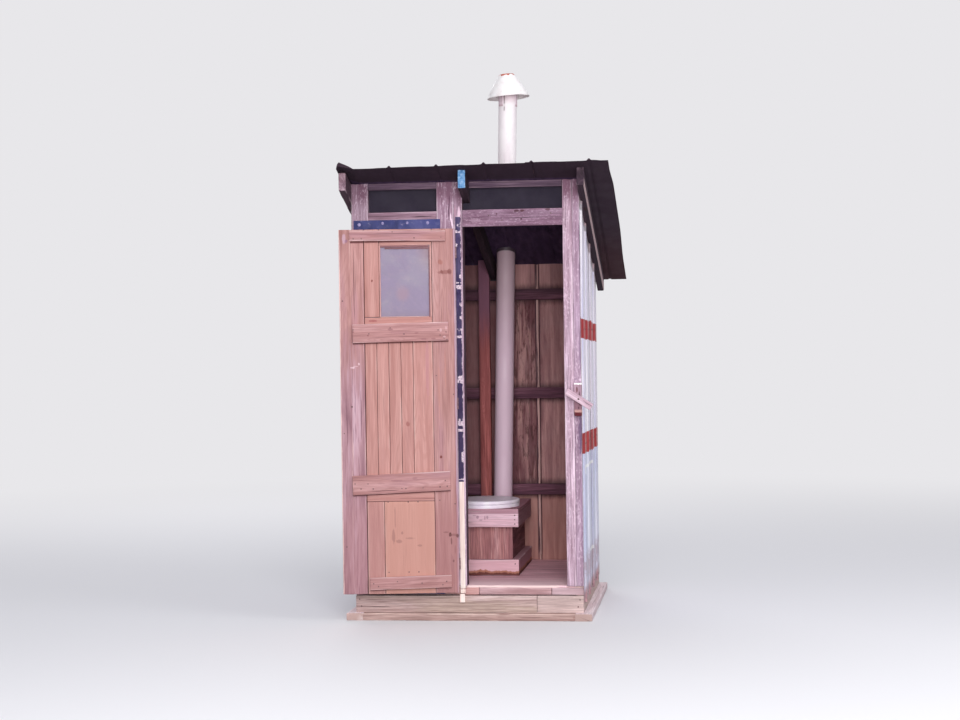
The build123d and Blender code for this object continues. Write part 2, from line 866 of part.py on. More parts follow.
# Ledges, nailed across the inner side and not quite level
rail_start = jamb_right - pin_x + rail_clearance
rail_stop = doorway_right - pin_x - rail_clearance
rails = (
    (rail_start + bead_width, rail_stop, top_rail_middle, top_rail_height, -0.6),
    (rail_start, rail_stop - bead_width, middle_seam - middle_rail_drop, middle_rail_height, 0.9),
    (rail_start, rail_stop, lower_seam + lower_rail_rise, lower_rail_height, 2.2),
    (rail_start, rail_stop - bottom_rail_short, bottom_rail_middle, bottom_rail_height, 1.2),
)

with BuildPart(door_plane) as door_rails:
    for near, far, middle, height, tilt in rails:
        with Locations(Location(((near + far) / 2, inner_side + rail_thick / 2, middle), (0, tilt, 0))):
            Box(far - near, rail_thick, height)
door_rails.part.label = "door_rails"
export_step(door_rails.part, "parts/door_rails.step")

# Window: a pane behind a frame of beads
bead_back = inner_side - fit_gap
bead_front = bead_back - bead_depth
window_middle = ((panel_start + window_stop) / 2, (window_bottom + window_top) / 2)
window_width = window_stop - panel_start
window_height = window_top - window_bottom
window_plane = Plane(
    origin=door_plane.from_local_coords((window_middle[0], bead_front, window_middle[1])),
    x_dir=door_plane.x_dir,
    z_dir=-door_plane.y_dir,
)

with BuildPart() as window_beads:
    with BuildSketch(window_plane):
        Rectangle(window_width, window_height)
        Rectangle(window_width - 2 * bead_width, window_height - 2 * bead_width, mode=Mode.SUBTRACT)
    extrude(amount=-bead_depth)
window_beads.part.label = "window_beads"
export_step(window_beads.part, "parts/window_beads.step")

with BuildPart() as window_pane:
    with BuildSketch(window_plane):
        Rectangle(window_width, window_height)
    extrude(amount=pane_thick)
window_pane.part.label = "window_pane"
export_step(window_pane.part, "parts/window_pane.step")


# Hinges: a cranked leaf with the pin on the frame, a flat leaf with two knuckles on the door
def pin_circle(radius, low, high, mode=Mode.ADD):
    """Add or cut a round length on the pin's axis."""
    with BuildSketch(door_plane.offset(low)) as ring:
        Circle(radius)
    extrude(ring.sketch, amount=high - low, mode=mode)


frame_leaf_start = pin_x - crank_reach - leaf_width

with BuildPart() as hinge_leaves_frame:
    for hinge_middle in hinge_heights:
        low = hinge_middle - middle_knuckle / 2
        high = hinge_middle + middle_knuckle / 2
        block((frame_leaf_start, pin_x - crank_reach), (-leaf_thick, 0), (low, high))
        block((pin_x - crank_reach - leaf_thick, pin_x - crank_reach), (pin_y, 0), (low, high))
        block((pin_x - crank_reach, pin_x), (pin_y - leaf_thick / 2, pin_y + leaf_thick / 2), (low, high))
        pin_circle(knuckle_radius, low, high)
        pin_circle(pin_radius, hinge_middle - leaf_height / 2, hinge_middle + leaf_height / 2)
hinge_leaves_frame.part.label = "hinge_leaves_frame"
export_step(hinge_leaves_frame.part, "parts/hinge_leaves_frame.step")

leaf_start = knuckle_radius + fit_gap

with BuildPart(door_plane) as hinge_leaves_door:
    for hinge_middle in hinge_heights:
        leaf_foot = hinge_middle - leaf_height / 2
        leaf_head = hinge_middle + leaf_height / 2
        leaf_depth = (outer_side - leaf_thick, outer_side)
        block((leaf_start, leaf_start + leaf_width), leaf_depth, (leaf_foot, leaf_head))
        knuckle_spans = (
            (leaf_foot, hinge_middle - middle_knuckle / 2 - fit_gap),
            (hinge_middle + middle_knuckle / 2 + fit_gap, leaf_head),
        )
        for low, high in knuckle_spans:
            block((0, leaf_start), leaf_depth, (low, high))
            pin_circle(knuckle_radius, low, high)
            pin_circle(pin_radius + fit_gap, low, high, mode=Mode.SUBTRACT)
hinge_leaves_door.part.label = "hinge_leaves_door"
export_step(hinge_leaves_door.part, "parts/hinge_leaves_door.step")

# Turn button on its block, with the screw that it turns on
block_thick = door_gap + board_thick + button_clearance
block_x = pin_x + free_edge + door_gap
pivot_x = block_x + block_width / 2
button_back = -block_thick - fit_gap
button_front = button_back - button_thick
screw_plane = Plane((pivot_x, 0, button_height), x_dir=(1, 0, 0), z_dir=(0, -1, 0))

with BuildPart() as latch_block:
    block((block_x, block_x + block_width), (-block_thick, 0), (block_bottom, block_bottom + block_height))
    with BuildSketch(screw_plane.offset(block_thick - screw_depth)):
        Circle(screw_radius + fit_gap)
    extrude(amount=screw_depth, mode=Mode.SUBTRACT)
latch_block.part.label = "latch_block"
export_step(latch_block.part, "parts/latch_block.step")

with BuildPart() as turn_button:
    button_plane = Plane(
        (pivot_x, button_back, button_height),
        x_dir=(cos(radians(button_droop)), 0, -sin(radians(button_droop))),
        z_dir=(0, -1, 0),
    )
    with BuildSketch(button_plane):
        with Locations(((button_arm - button_stub) / 2, 0)):
            Rectangle(button_arm + button_stub, button_width)
        Circle(screw_radius + fit_gap, mode=Mode.SUBTRACT)
    extrude(amount=button_thick)
turn_button.part.label = "turn_button"
export_step(turn_button.part, "parts/turn_button.step")

with BuildPart() as button_screw:
    with BuildSketch(screw_plane.offset(block_thick - screw_depth)):
        Circle(screw_radius)
    extrude(amount=screw_depth + button_thick + 3 * fit_gap)
    with BuildSketch(screw_plane.offset(-button_front + fit_gap)):
        Circle(screw_head_radius)
    extrude(amount=screw_head_thick)
button_screw.part.label = "button_screw"
export_step(button_screw.part, "parts/button_screw.step")
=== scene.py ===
"""Weathered outhouse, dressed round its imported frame. Metres, +Z up, the door to the front at -Y."""

import itertools
import json
from math import cos, pi, radians, sin, tan

import bmesh
import bpy
import numpy as np
from mathutils import Matrix, Vector


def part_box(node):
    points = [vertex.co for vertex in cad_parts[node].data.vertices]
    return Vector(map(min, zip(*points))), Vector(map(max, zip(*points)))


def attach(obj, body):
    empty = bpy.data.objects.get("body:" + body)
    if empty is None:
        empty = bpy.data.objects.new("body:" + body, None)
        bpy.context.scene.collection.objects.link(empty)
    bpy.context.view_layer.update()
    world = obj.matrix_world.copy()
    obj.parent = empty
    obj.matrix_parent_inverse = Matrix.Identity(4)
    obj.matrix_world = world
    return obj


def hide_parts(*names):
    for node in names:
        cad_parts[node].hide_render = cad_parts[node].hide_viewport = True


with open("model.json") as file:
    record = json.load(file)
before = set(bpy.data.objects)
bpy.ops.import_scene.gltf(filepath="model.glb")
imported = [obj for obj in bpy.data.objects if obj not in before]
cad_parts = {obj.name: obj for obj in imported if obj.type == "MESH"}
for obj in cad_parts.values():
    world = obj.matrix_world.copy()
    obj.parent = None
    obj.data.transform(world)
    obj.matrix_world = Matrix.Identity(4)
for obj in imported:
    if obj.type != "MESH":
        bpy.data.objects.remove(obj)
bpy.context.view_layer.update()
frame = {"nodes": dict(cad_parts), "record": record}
NODES = frame["nodes"]
BODY_OF = {node: body for body, names in frame["record"]["behaviour"]["bodies"].items() for node in names}
MM = 0.001
PITCH = radians(18.0)
SLOPE = tan(PITCH)
HALF_WIDTH, REAR = 0.6095, 1.219
GIRTS_UP = (0.598, 1.168, 1.751)


# Smooth noise for moving points, the same on each run
def hashed(cells, seed):
    """Values 0..1 of integer lattice cells."""
    whole = cells.astype(np.int64)
    mixed = whole[..., 0] * 73856093 ^ whole[..., 1] * 19349663 ^ whole[..., 2] * 83492791
    mixed = (mixed ^ (seed + 1) * 668265263) & 0xFFFFFFFF
    mixed = ((mixed ^ mixed >> 15) * 2246822519) & 0xFFFFFFFF
    mixed = ((mixed ^ mixed >> 13) * 3266489917) & 0xFFFFFFFF
    return ((mixed ^ mixed >> 16) & 0xFFFF) / 65535.0


def field(points, size, seed):
    """Smooth noise -1..1 at points, with cells of that size in metres."""
    scaled = points / np.array(size)
    base = np.floor(scaled)
    part = scaled - base
    part = part * part * (3 - 2 * part)
    total = 0.0
    for corner in itertools.product((0, 1), repeat=3):
        share = np.prod(np.where(np.array(corner), part, 1 - part), axis=-1)
        total = total + share * hashed(base + np.array(corner), seed)
    return total * 2 - 1


def smooth(low, high, value):
    """0 below low, 1 above high and smooth between, also where low is the higher."""
    part = np.clip((value - low) / (high - low), 0, 1)
    return part * part * (3 - 2 * part)


def stacked(*parts):
    """Arrays and numbers as the last axis of one array."""
    return np.stack(np.broadcast_arrays(*parts), -1)


def quads(*corners):
    """Four-cornered faces from arrays of point numbers."""
    return np.stack(corners, -1).reshape(-1, 4).tolist()


class Shell:
    """Points, faces and the point attributes that the materials read."""

    def __init__(self):
        self.points, self.grain, self.place, self.board = [], [], [], []
        self.faces, self.slots, self.count = [], [], 0

    def add(self, points, faces, grain, board, place=None, slot=0):
        """Adds points and faces. grain runs along the fibres, place is where colours are looked up and
        board holds tint, wear and depth of each point."""
        points = np.asarray(points, float).reshape(-1, 3)
        self.points.append(points)
        self.grain.append(np.asarray(grain, float).reshape(-1, 3))
        self.board.append(np.broadcast_to(np.asarray(board, float).reshape(-1, 3), points.shape))
        self.place.append(points if place is None else place)
        self.faces += [[corner + self.count for corner in face] for face in faces]
        self.slots += [slot] * len(faces) if isinstance(slot, int) else list(slot)
        self.count += len(points)

    def piece(self, name, materials, body, nodes=(), sharp=42):
        """Makes the collected mesh an object that rides on a body and stands for the nodes."""
        mesh = bpy.data.meshes.new(name)
        points = np.concatenate(self.points)
        mesh.from_pydata(points.tolist(), [], self.faces)
        for attribute in ("grain", "place", "board"):
            values = np.concatenate(getattr(self, attribute)).astype(np.float32)
            layer = mesh.attributes.new(attribute, "FLOAT_VECTOR", "POINT")
            layer.data.foreach_set("vector", values.ravel())
        for material in materials:
            mesh.materials.append(material)
        mesh.polygons.foreach_set("material_index", self.slots)
        mesh.shade_smooth()
        mesh.set_sharp_from_angle(angle=radians(sharp))
        mesh.update()
        made = bpy.data.objects.new(name, mesh)
        bpy.context.scene.collection.objects.link(made)
        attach(made, body)
        if nodes:
            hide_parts(*nodes)
        return made


# Boards
def blocks_of(node):
    """Corner arrays [along][across][through] of a node's six-sided solids."""
    work = bmesh.new()
    work.from_mesh(NODES[node].data)
    bmesh.ops.remove_doubles(work, verts=work.verts, dist=2e-5)
    bmesh.ops.dissolve_limit(work, angle_limit=radians(0.5), verts=work.verts, edges=work.edges)
    left = set(work.verts)
    found = []
    while left:
        start = min(left, key=lambda v: (round(v.co.x + v.co.y * 1.1 + v.co.z * 1.3, 5),
                                         round(v.co.x, 5)))
        near = sorted((e.other_vert(start) for e in start.link_edges),
                      key=lambda v: -(v.co - start.co).length)
        if len(near) != 3:
            raise ValueError(f"{node} has a solid that is no plain block")

        def shared(one, two):
            return next(
                v for v in (e.other_vert(one) for e in one.link_edges)
                if v is not start and v in [e.other_vert(two) for e in two.link_edges]
            )

        along, across, through = near
        flat = shared(along, across)
        side = shared(along, through)
        end = shared(across, through)
        last = next(
            v for v in (e.other_vert(flat) for e in flat.link_edges) if v is not along and v is not across
        )
        ordered = [start, through, across, end, along, side, flat, last]
        found.append(np.array([v.co[:] for v in ordered]).reshape(2, 2, 2, 3))
        left -= set(ordered)
    work.free()
    return found


def box_corners(low, high, order=(0, 1, 2)):
    """A corner array of an upright box, its grain along axis order[0]."""
    corners = np.zeros((2, 2, 2, 3))
    for index in itertools.product((0, 1), repeat=3):
        for axis, end in zip(order, index):
            corners[index][axis] = (low, high)[end][axis]
    return corners


def plank(shell, corners, rng, cell=(0.018, 0.006), radius=0.002, rough=1.0, cracks=2, chips=2, slot=0,
          rubbed=0.0):
    """Adds a weathered board: relief along the grain, worn edges, cracks along it, ragged ends."""
    edges = [corners[1, 0, 0] - corners[0, 0, 0], corners[0, 1, 0] - corners[0, 0, 0],
             corners[0, 0, 1] - corners[0, 0, 0]]
    length, width, thick = (float(np.linalg.norm(edge)) for edge in edges)
    length = max(length, float(np.linalg.norm(corners[1, 1, 1] - corners[0, 1, 1])))
    radius = min(radius, thick / 3)
    flats = (
        ((radius, 0), (1, 0), (0, -1), width - 2 * radius),
        ((width, radius), (0, 1), (1, 0), thick - 2 * radius),
        ((width - radius, thick), (-1, 0), (0, 1), width - 2 * radius),
        ((0, thick - radius), (0, -1), (-1, 0), thick - 2 * radius),
    )
    splits = []
    for number in range(cracks):
        side = rng.choice((0, 2))
        run = flats[side][3]
        start = rng.uniform(-0.15, 0.85) * length
        reach = rng.uniform(0.12, 0.5) * length
        splits.append((side, rng.uniform(0.1, 0.9) * run, rng.uniform(0.5, 1.1) * MM,
                       rng.uniform(2, 5) * MM, start, reach))
    rows = []
    for side, (start, step, normal, run) in enumerate(flats):
        count = max(1, round(run / cell[1]))
        marks = [(run * k / count, -1, 0) for k in range(count + 1)]
        for number, split in enumerate(splits):
            if split[0] == side:
                gap = split[2] * 2.5
                marks = [m for m in marks if abs(m[0] - split[1]) > gap * 1.4 or m[0] in (0.0, run)]
                marks += [(split[1] + part * gap, number, part) for part in (-1, 0, 1)]
        for run_at, number, part in sorted(marks):
            near_end = max(0.0, 1 - min(run_at, run - run_at) / (2.5 * radius))
            spot = start[0] + step[0] * run_at, start[1] + step[1] * run_at
            rows.append((*spot, *normal, near_end * 0.6, number, part, *step))
        centre = (start[0] + step[0] * run - normal[0] * radius,
                  start[1] + step[1] * run - normal[1] * radius)
        for turn in (pi / 6, pi / 3):
            out = (normal[0] * cos(turn) + step[0] * sin(turn),
                   normal[1] * cos(turn) + step[1] * sin(turn))
            corner = centre[0] + out[0] * radius, centre[1] + out[1] * radius
            rows.append((*corner, *out, 1.0, -1, 0, 0, 0))
    ring = np.array(rows)
    count = max(2, round(length / cell[0]))
    inner = np.linspace(radius, length - radius, count + 1)
    stations = np.concatenate(([0, radius * 0.3], inner, [length - radius * 0.3, length]))
    offset = rng.uniform(0, 40, 3)
    along = np.repeat(stations[:, None], len(ring), 1)
    spot = stacked(along, ring[:, 0], ring[:, 1]) + offset
    seed = int(rng.integers(1 << 20))
    ridges, swell = field(spot, (0.3, 0.011, 0.011), seed), field(spot, (0.14, 0.05, 0.05), seed + 1)
    relief = ridges * 0.35 + swell * 0.55
    worn = np.clip(field(spot, (0.07, 0.3, 0.3), seed + 2) + 0.25, 0, 1) * ring[:, 4]
    sink = relief * MM * rough + worn * 1.6 * MM * rough
    deep = np.zeros_like(sink)
    drift = np.zeros_like(sink)
    for number, (side, at, half, depth, start, reach) in enumerate(splits):
        inside = np.clip((stations - start) / reach, 0, 1)
        opened = np.sqrt(np.sin(inside * pi).clip(0, 1))[:, None]
        mine = ring[:, 5] == number
        middle = mine & (ring[:, 6] == 0)
        sink[:, middle] += opened * depth
        deep[:, middle] = opened
        wander = field(stacked(stations, 0, number) + offset, (0.05, 1, 1), seed + 3)
        drift[:, mine] += wander[:, None] * 1.4 * MM
        pinch = (1 - opened * 0.55) * ring[mine, 6] * -half * 1.2
        drift[:, mine] += pinch * 0.5
    for _ in range(chips):
        at = rng.uniform(0, length)
        corner = rng.integers(len(ring))
        size = rng.uniform(0.006, 0.03)
        away = np.hypot(ring[:, 0] - ring[corner, 0], ring[:, 1] - ring[corner, 1])
        bite = np.exp(-(((stations[:, None] - at) / size) ** 2))
        bite = bite * np.exp(-((away / 0.006) ** 2)) * ring[:, 4]
        sink += bite * rng.uniform(2, 4) * MM * rough
        worn = np.maximum(worn, bite)
    # Paler rounded edges where the call asks for them: wear, and on the door rails also a painted highlight
    # along their edges.
    rub = np.clip(0.75 + field(spot, (0.06, 0.3, 0.3), seed + 6), 0, 1)
    worn = np.maximum(worn, ring[:, 4] * rubbed * rub)
    to_end = np.minimum(stations, length - stations)
    round_in = radius * (1 - np.sqrt(np.clip(1 - (1 - np.clip(to_end / radius, 0, 1)) ** 2, 0, 1)))
    sink = sink + round_in[:, None] * (1 - 0.3 * ring[:, 4])
    ragged = field(spot * (0, 1, 1) + (0, 0, 7), (1, 0.012, 0.012), seed + 4) * 1.3 * MM * rough
    push = ragged * np.clip(1 - to_end / 0.02, 0, 1)[:, None]
    across = (ring[:, 0] - ring[:, 2] * sink + ring[:, 7] * drift) / width
    through = (ring[:, 1] - ring[:, 3] * sink + ring[:, 8] * drift) / thick
    share = np.clip((along + push) / length, 0, 1)
    points = 0.0
    weights = (1 - share, share), (1 - across, across), (1 - through, through)
    for i, j, k in itertools.product((0, 1), repeat=3):
        points = points + (weights[0][i] * weights[1][j] * weights[2][k])[..., None] * corners[i, j, k]
    total, around = points.shape[:2]
    index = np.arange(total * around).reshape(total, around)
    turned = np.roll(index, -1, 1)
    faces = quads(index[:-1], turned[:-1], turned[1:], index[1:])
    faces += [index[0, ::-1].tolist(), index[-1].tolist()]
    if np.dot(edges[0], np.cross(edges[1], edges[2])) < 0:
        faces = [face[::-1] for face in faces]
    shell.add(points, faces, spot, stacked(rng.uniform(), worn, deep), None, slot)


def softened(node, cuts, bevel, segments=2):
    """A copy of a node's mesh with bevelled edges, cut at the given places on each axis."""
    work = bmesh.new()
    work.from_mesh(NODES[node].data)
    bmesh.ops.remove_doubles(work, verts=work.verts, dist=2e-5)
    bmesh.ops.dissolve_limit(work, angle_limit=radians(0.5), verts=work.verts, edges=work.edges)
    hard = [e for e in work.edges if len(e.link_faces) == 2 and e.calc_face_angle() > radians(32)]
    bmesh.ops.bevel(work, geom=hard, offset=bevel, segments=segments, affect="EDGES", profile=0.5,
                    clamp_overlap=True)
    for axis, places in enumerate(cuts):
        normal = [0, 0, 0]
        normal[axis] = 1
        for place in places:
            point = [place if axis == n else 0 for n in range(3)]
            every = list(work.verts) + list(work.edges) + list(work.faces)
            bmesh.ops.bisect_plane(work, geom=every, dist=1e-6, plane_co=point, plane_no=normal)
    return work


def from_work(shell, work, tint=0.5, move=None, wear=None):
    """Adds a softened mesh to a shell, with its grain along X."""
    work.verts.index_update()
    points = np.array([v.co[:] for v in work.verts])
    board = np.zeros((len(points), 3))
    board[:, 0] = tint
    if wear is not None:
        board[:, 1:] = wear(points)
    grain = points + 3.7 * tint + 1.3
    faces = []
    for face in work.faces:
        ring = [v.index for v in face.verts]
        first = ring.index(min(ring))
        faces.append(ring[first:] + ring[:first])
    faces.sort()
    work.free()
    shell.add(points if move is None else move(points), faces, grain, board, points)


# Materials
def tone(*values):
    """A linear colour from its usual three values 0..255."""
    return (*(c / 255 / 12.92 if c < 10.3 else ((c / 255 + 0.055) / 1.055) ** 2.4 for c in values), 1.0)


def shade_of(colour):
    """A colour of three values 0..255 made linear; any other value stays as it is."""
    return tone(*colour) if isinstance(colour, tuple) and len(colour) == 3 else colour


class Value:
    """What a node puts out, with a sign or a short call for each kind of node that can follow."""

    def __init__(self, graph, socket):
        self.graph, self.socket = graph, socket

    def outlet(self, name):
        """Another output of the same node."""
        return Value(self.graph, self.socket.node.outputs[name])

    def split(self):
        parts = self.graph.make("ShaderNodeSeparateXYZ", {0: self})
        return tuple(parts.outlet(axis) for axis in range(3))

    x = property(lambda self: self.split()[0])
    y = property(lambda self: self.split()[1])
    z = property(lambda self: self.split()[2])

    def __add__(self, other):
        return self.graph.math("ADD", self, other)

    def __sub__(self, other):
        return self.graph.math("SUBTRACT", self, other)

    def __rsub__(self, other):
        return self.graph.math("SUBTRACT", other, self)

    def __mul__(self, other):
        """The product with a number or a value, or with three numbers for a vector."""
        if isinstance(other, tuple):
            return self.graph.make("ShaderNodeVectorMath", {0: self, 1: other}, operation="MULTIPLY")
        return self.graph.math("MULTIPLY", self, other)

    __radd__ = __add__
    __rmul__ = __mul__

    def absolute(self):
        return self.graph.math("ABSOLUTE", self)

    def most(self, other):
        return self.graph.math("MAXIMUM", self, other)

    def span(self, low, high, out_low=0.0, out_high=1.0):
        """out_low at low, out_high at high and smooth between."""
        values = {0: self, 1: low, 2: high, 3: out_low, 4: out_high}
        return self.graph.make("ShaderNodeMapRange", values, interpolation_type="SMOOTHSTEP", clamp=True)

    def noise(self, by, detail=2.0, roughness=0.5, distortion=0.0, scale=1.0):
        """Noise at these points, which are multiplied by three numbers first unless by is None."""
        values = {"Vector": self if by is None else self * by, "Scale": scale, "Detail": detail,
                  "Roughness": roughness, "Distortion": distortion}
        return self.graph.make("ShaderNodeTexNoise", values)

    def shades(self, low, high, dark, mid, light):
        """Dark up to low, mid at a half, light from high."""
        socket = self.graph.make("ShaderNodeValToRGB", {0: self}).socket
        ramp = socket.node.color_ramp
        ramp.elements.new(0.5)
        for element, place, colour in zip(ramp.elements, (low, 0.5, high), (dark, mid, light)):
            element.position = place
            element.color = shade_of(colour)
        return Value(self.graph, socket)

    def mix(self, factor, other):
        return self.graph.mix(factor, self, other)


class Graph:
    """The node tree of a material or of the world."""

    def __init__(self, owner):
        self.owner = owner
        owner.use_nodes = True
        self.tree = owner.node_tree
        self.tree.nodes.clear()

    def make(self, kind, inputs, outlet=0, **settings):
        """Adds a node and gives one of its outputs."""
        node = self.tree.nodes.new(kind)
        for key, value in settings.items():
            setattr(node, key, value)
        for key, value in inputs.items():
            if isinstance(value, Value):
                self.tree.links.new(value.socket, node.inputs[key])
            else:
                node.inputs[key].default_value = value
        return Value(self, node.outputs[outlet])

    def attribute(self, name):
        return self.make("ShaderNodeAttribute", {}, "Vector", attribute_name=name)

    def math(self, operation, one, two=0.0, clamp=False):
        return self.make("ShaderNodeMath", {0: one, 1: two}, operation=operation, use_clamp=clamp)

    def mix(self, factor, one, two, blend="MIX"):
        values = {0: factor, 6: shade_of(one), 7: shade_of(two)}
        return self.make("ShaderNodeMix", values, 2, data_type="RGBA", blend_type=blend)

    def bump(self, height, distance, strength):
        return self.make("ShaderNodeBump", {"Height": height, "Distance": distance, "Strength": strength})

    def finish(self, colour, roughness, normal, **uniform):
        """Paints a dull surface, with uniform values for the rest of its look."""
        values = {"Base Color": colour, "Roughness": roughness, "Normal": normal, **uniform}
        return self.put_out(self.make("ShaderNodeBsdfPrincipled", values))

    def put_out(self, shader, kind="ShaderNodeOutputMaterial"):
        """Joins a shader to the tree's output."""
        out = self.tree.nodes.new(kind)
        self.tree.links.new(shader.socket, out.inputs[0])
        return self.owner


def wood(name, dark, mid, light, pale=None, grey=None, greyness=0.0, knots=0.5, rings=0.5, fibre=0.5,
         crack=0.5, extra=None, relief=0.7, spread=0.3):
    """Weathered wood. grey is a second tone that comes in patches, pale shows at worn edges."""
    g = Graph(bpy.data.materials.new(name))
    grain = g.attribute("grain")
    place = g.attribute("place")
    tint, wear, deep = g.attribute("board").split()
    broad = grain.noise((1.3, 24, 24), 4, 0.6, 0.4)
    fine = grain.noise((7, 260, 260), 3, 0.65)
    cell = g.make("ShaderNodeTexVoronoi", {"Vector": grain * (2.3, 6.5, 6.5), "Scale": 1.0}, 0)
    chance = cell.outlet("Color").x
    knot_here = chance.span(1.0 - knots, 1.0 - knots + 0.02)
    near_knot = cell.span(0.34, 0.04) * knot_here
    knot = cell.span(0.085, 0.05) * knot_here
    contour = grain.noise((0.55, 8, 8), 1.5, 0.45, 0.2)
    contour = contour + near_knot * 0.16
    ring = g.math("SINE", contour * 190.0)
    ring = ring.span(0.1, 1.0)
    colour = broad.shades(0.3, 0.7, dark, mid, light)
    late = g.mix(0.55, mid, dark)
    colour = colour.mix(ring * rings, late)
    if grey is not None:
        patch = grain.noise((1.6, 9, 9), 4, 0.6, 0.3)
        patch = patch.span(0.62 - greyness * 0.4, 0.78 - greyness * 0.4)
        colour = colour.mix(patch * 0.85, grey)
    colour = colour.mix(fine.span(0.58, 0.4) * fibre, g.mix(0.5, dark, (0.02, 0.012, 0.012, 1)))
    colour = colour.mix(fine.span(0.56, 0.74) * (fibre * 0.7), light)
    lines = grain.noise((2.4, 150, 150), 2, 0.5, 0.15)
    lines = lines.span(0.335, 0.28)
    colour = colour.mix(lines * crack, (0.03, 0.018, 0.02, 1))
    colour = colour.mix(knot * 0.8, g.mix(0.6, dark, (0.05, 0.02, 0.015, 1)))
    if extra is not None:
        colour = extra(g, colour, grain, place)
    if pale is not None:
        rub = g.math("MULTIPLY", wear, broad.span(0.35, 0.6), True)
        colour = colour.mix(rub, pale)
    colour = colour.mix(deep * 0.85, (0.02, 0.012, 0.014, 1))
    shade = tint * spread + (1.0 - spread / 2)
    colour = g.mix(1.0, colour, g.make("ShaderNodeCombineXYZ", {0: shade, 1: shade, 2: shade}),
                   "MULTIPLY")
    height = fine * 0.6 + ring * -0.25
    height = height - lines * 0.9
    rough = broad.span(0.3, 0.7, 0.78, 0.93)
    return g.finish(colour, rough, g.bump(height, 0.0011, relief), **{"Specular IOR Level": 0.25})


def metal(name, colour_of, bumpy=0.5, roughness=(0.45, 0.8)):
    """Sheet or plastic; colour_of(graph, grain, place, board parts) gives its colour and height."""
    g = Graph(bpy.data.materials.new(name))
    grain = g.attribute("grain")
    place = g.attribute("place")
    colour, height = colour_of(g, grain, place, g.attribute("board").split())
    rough = grain.noise((9, 9, 9), 3, 0.6).span(0.3, 0.7, *roughness)
    return g.finish(colour, rough, g.bump(height, 0.0012, bumpy), **{"Specular IOR Level": 0.35})


def marked(marks, first=None):
    """Knots and chips where they are: (across, up, half width, half height, colour, strength), in mm."""

    def extra(g, colour, grain, place):
        if first is not None:
            colour = first(g, colour, grain, place)
        fray = (place.noise((90, 90, 40), 3, 0.6) - 0.5) * 1.4
        for across, up, wide, tall, shade, strength in marks:
            away = g.make("ShaderNodeVectorMath", {0: place, 1: (across * MM, 0, up * MM)},
                          operation="SUBTRACT")
            away = away * (1 / wide / MM, 0, 1 / tall / MM)
            away = g.make("ShaderNodeVectorMath", {0: away}, "Value", operation="LENGTH")
            colour = colour.mix((away + fray).span(1.2, 0.7, 0, strength), shade)
        return colour

    return extra


def flecked(g, colour, grain, place):
    """Posts: whitish flecks of old paint and dark pits between them, painted browner and darker towards the
    top as shade under the eave.
    """
    up = place.z
    # brown is painted shade, growing towards the eave
    brown = up.span(1.5, 2.2, 0, 0.35) + up.span(2.16, 2.28, 0, 0.75)
    brown = brown * grain.noise((3, 30, 30), 3, 0.6)
    colour = colour.mix(g.math("MULTIPLY", brown, 1.7, True), (122, 88, 106))
    fleck = grain.noise((48, 125, 125), 4, 0.62, 0.2)
    zone = grain.noise((5, 22, 22), 2, 0.5)
    amount = fleck + zone * 0.35
    colour = colour.mix(amount.span(0.53, 0.43, 0, 0.5), (132, 98, 118))
    return colour.mix(amount.span(0.70, 0.86, 0, 0.42), (236, 212, 228))


def header_patches(g, colour, grain, place):
    """Header: pale worn islands round its knots."""
    spot = place.noise((62, 62, 120), 5, 0.66, 0.4)
    colour = colour.mix(spot.span(0.54, 0.66, 0, 0.42), (208, 182, 198))
    return colour.mix(spot.span(0.44, 0.35, 0, 0.5), (98, 66, 86))


def pale_edge(g, colour, grain, place):
    """Right rafter: its outer lower face is painted pale as lit, against the painted shade of its dark wood.
    """
    side, back, up = place.split()
    height = up + back * SLOPE
    # painted light on the outer face below the roof's shade
    bare = height.span(2.282, 2.268) * side.span(0.643, 0.6465)
    bare = bare * back.span(-0.148, -0.142)
    return colour.mix(bare * 0.85, (214, 186, 188))


def shaded_reveal(g, colour, grain, place):
    """Door jamb: its side towards the doorway is painted dark as shade."""
    return flecked(g, colour, grain, place).mix(place.y.span(0.0015, 0.004, 0, 0.9), (58, 30, 44))


def front_only(g, colour, grain, place):
    """Left rafter: painted shade darkens the upper part of its front end, and more strongly all of it behind
    the front end.
    """
    _, back, up = place.split()
    colour = colour.mix(up.span(2.315, 2.335, 0, 0.6), (116, 86, 96))
    return colour.mix(back.span(-0.1455, -0.1435, 0, 0.88), (66, 46, 58))


def block_ends(g, colour, grain, place):
    """Latch block: nearly white at its top, brown lower half and dark red at its foot."""
    up = place.z
    fray = up + place.noise((60, 60, 60), 3, 0.6) * 0.012
    colour = colour.mix(fray.span(1.185, 1.15, 0, 0.75), (132, 92, 104))
    colour = colour.mix(fray.span(1.120, 1.112), (194, 150, 144))
    colour = colour.mix(fray.span(1.106, 1.101), (96, 34, 42))
    return colour.mix(fray.span(1.248, 1.251), (255, 250, 252))


def sill_parts(g, colour, grain, place):
    """Front sill: its right length is paler than the left."""
    side = place.x
    return colour.mix(side.span(0.3620, 0.3630, 0, 0.2), (226, 210, 206))


def pale_front_deck(g, colour, grain, place):
    """Floor deck: paler towards the doorway, with a torn front edge."""
    back = place.y
    cloud = place.noise((7, 30, 7), 3, 0.6, 0.4)
    level = back + cloud * 0.12
    colour = colour.mix(level.span(0.55, 0.11, 0, 0.85), (255, 218, 224))
    return colour.mix((back + cloud * 0.03).span(0.0445, 0.0425), (244, 214, 212))


PLINTH_FACE, PLINTH_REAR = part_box("base_planks_side")[0][1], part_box("base_planks_side")[1][1]
BENCH_FACE, BENCH_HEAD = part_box("bench_top_band")[0][1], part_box("bench_top_band")[1][2]


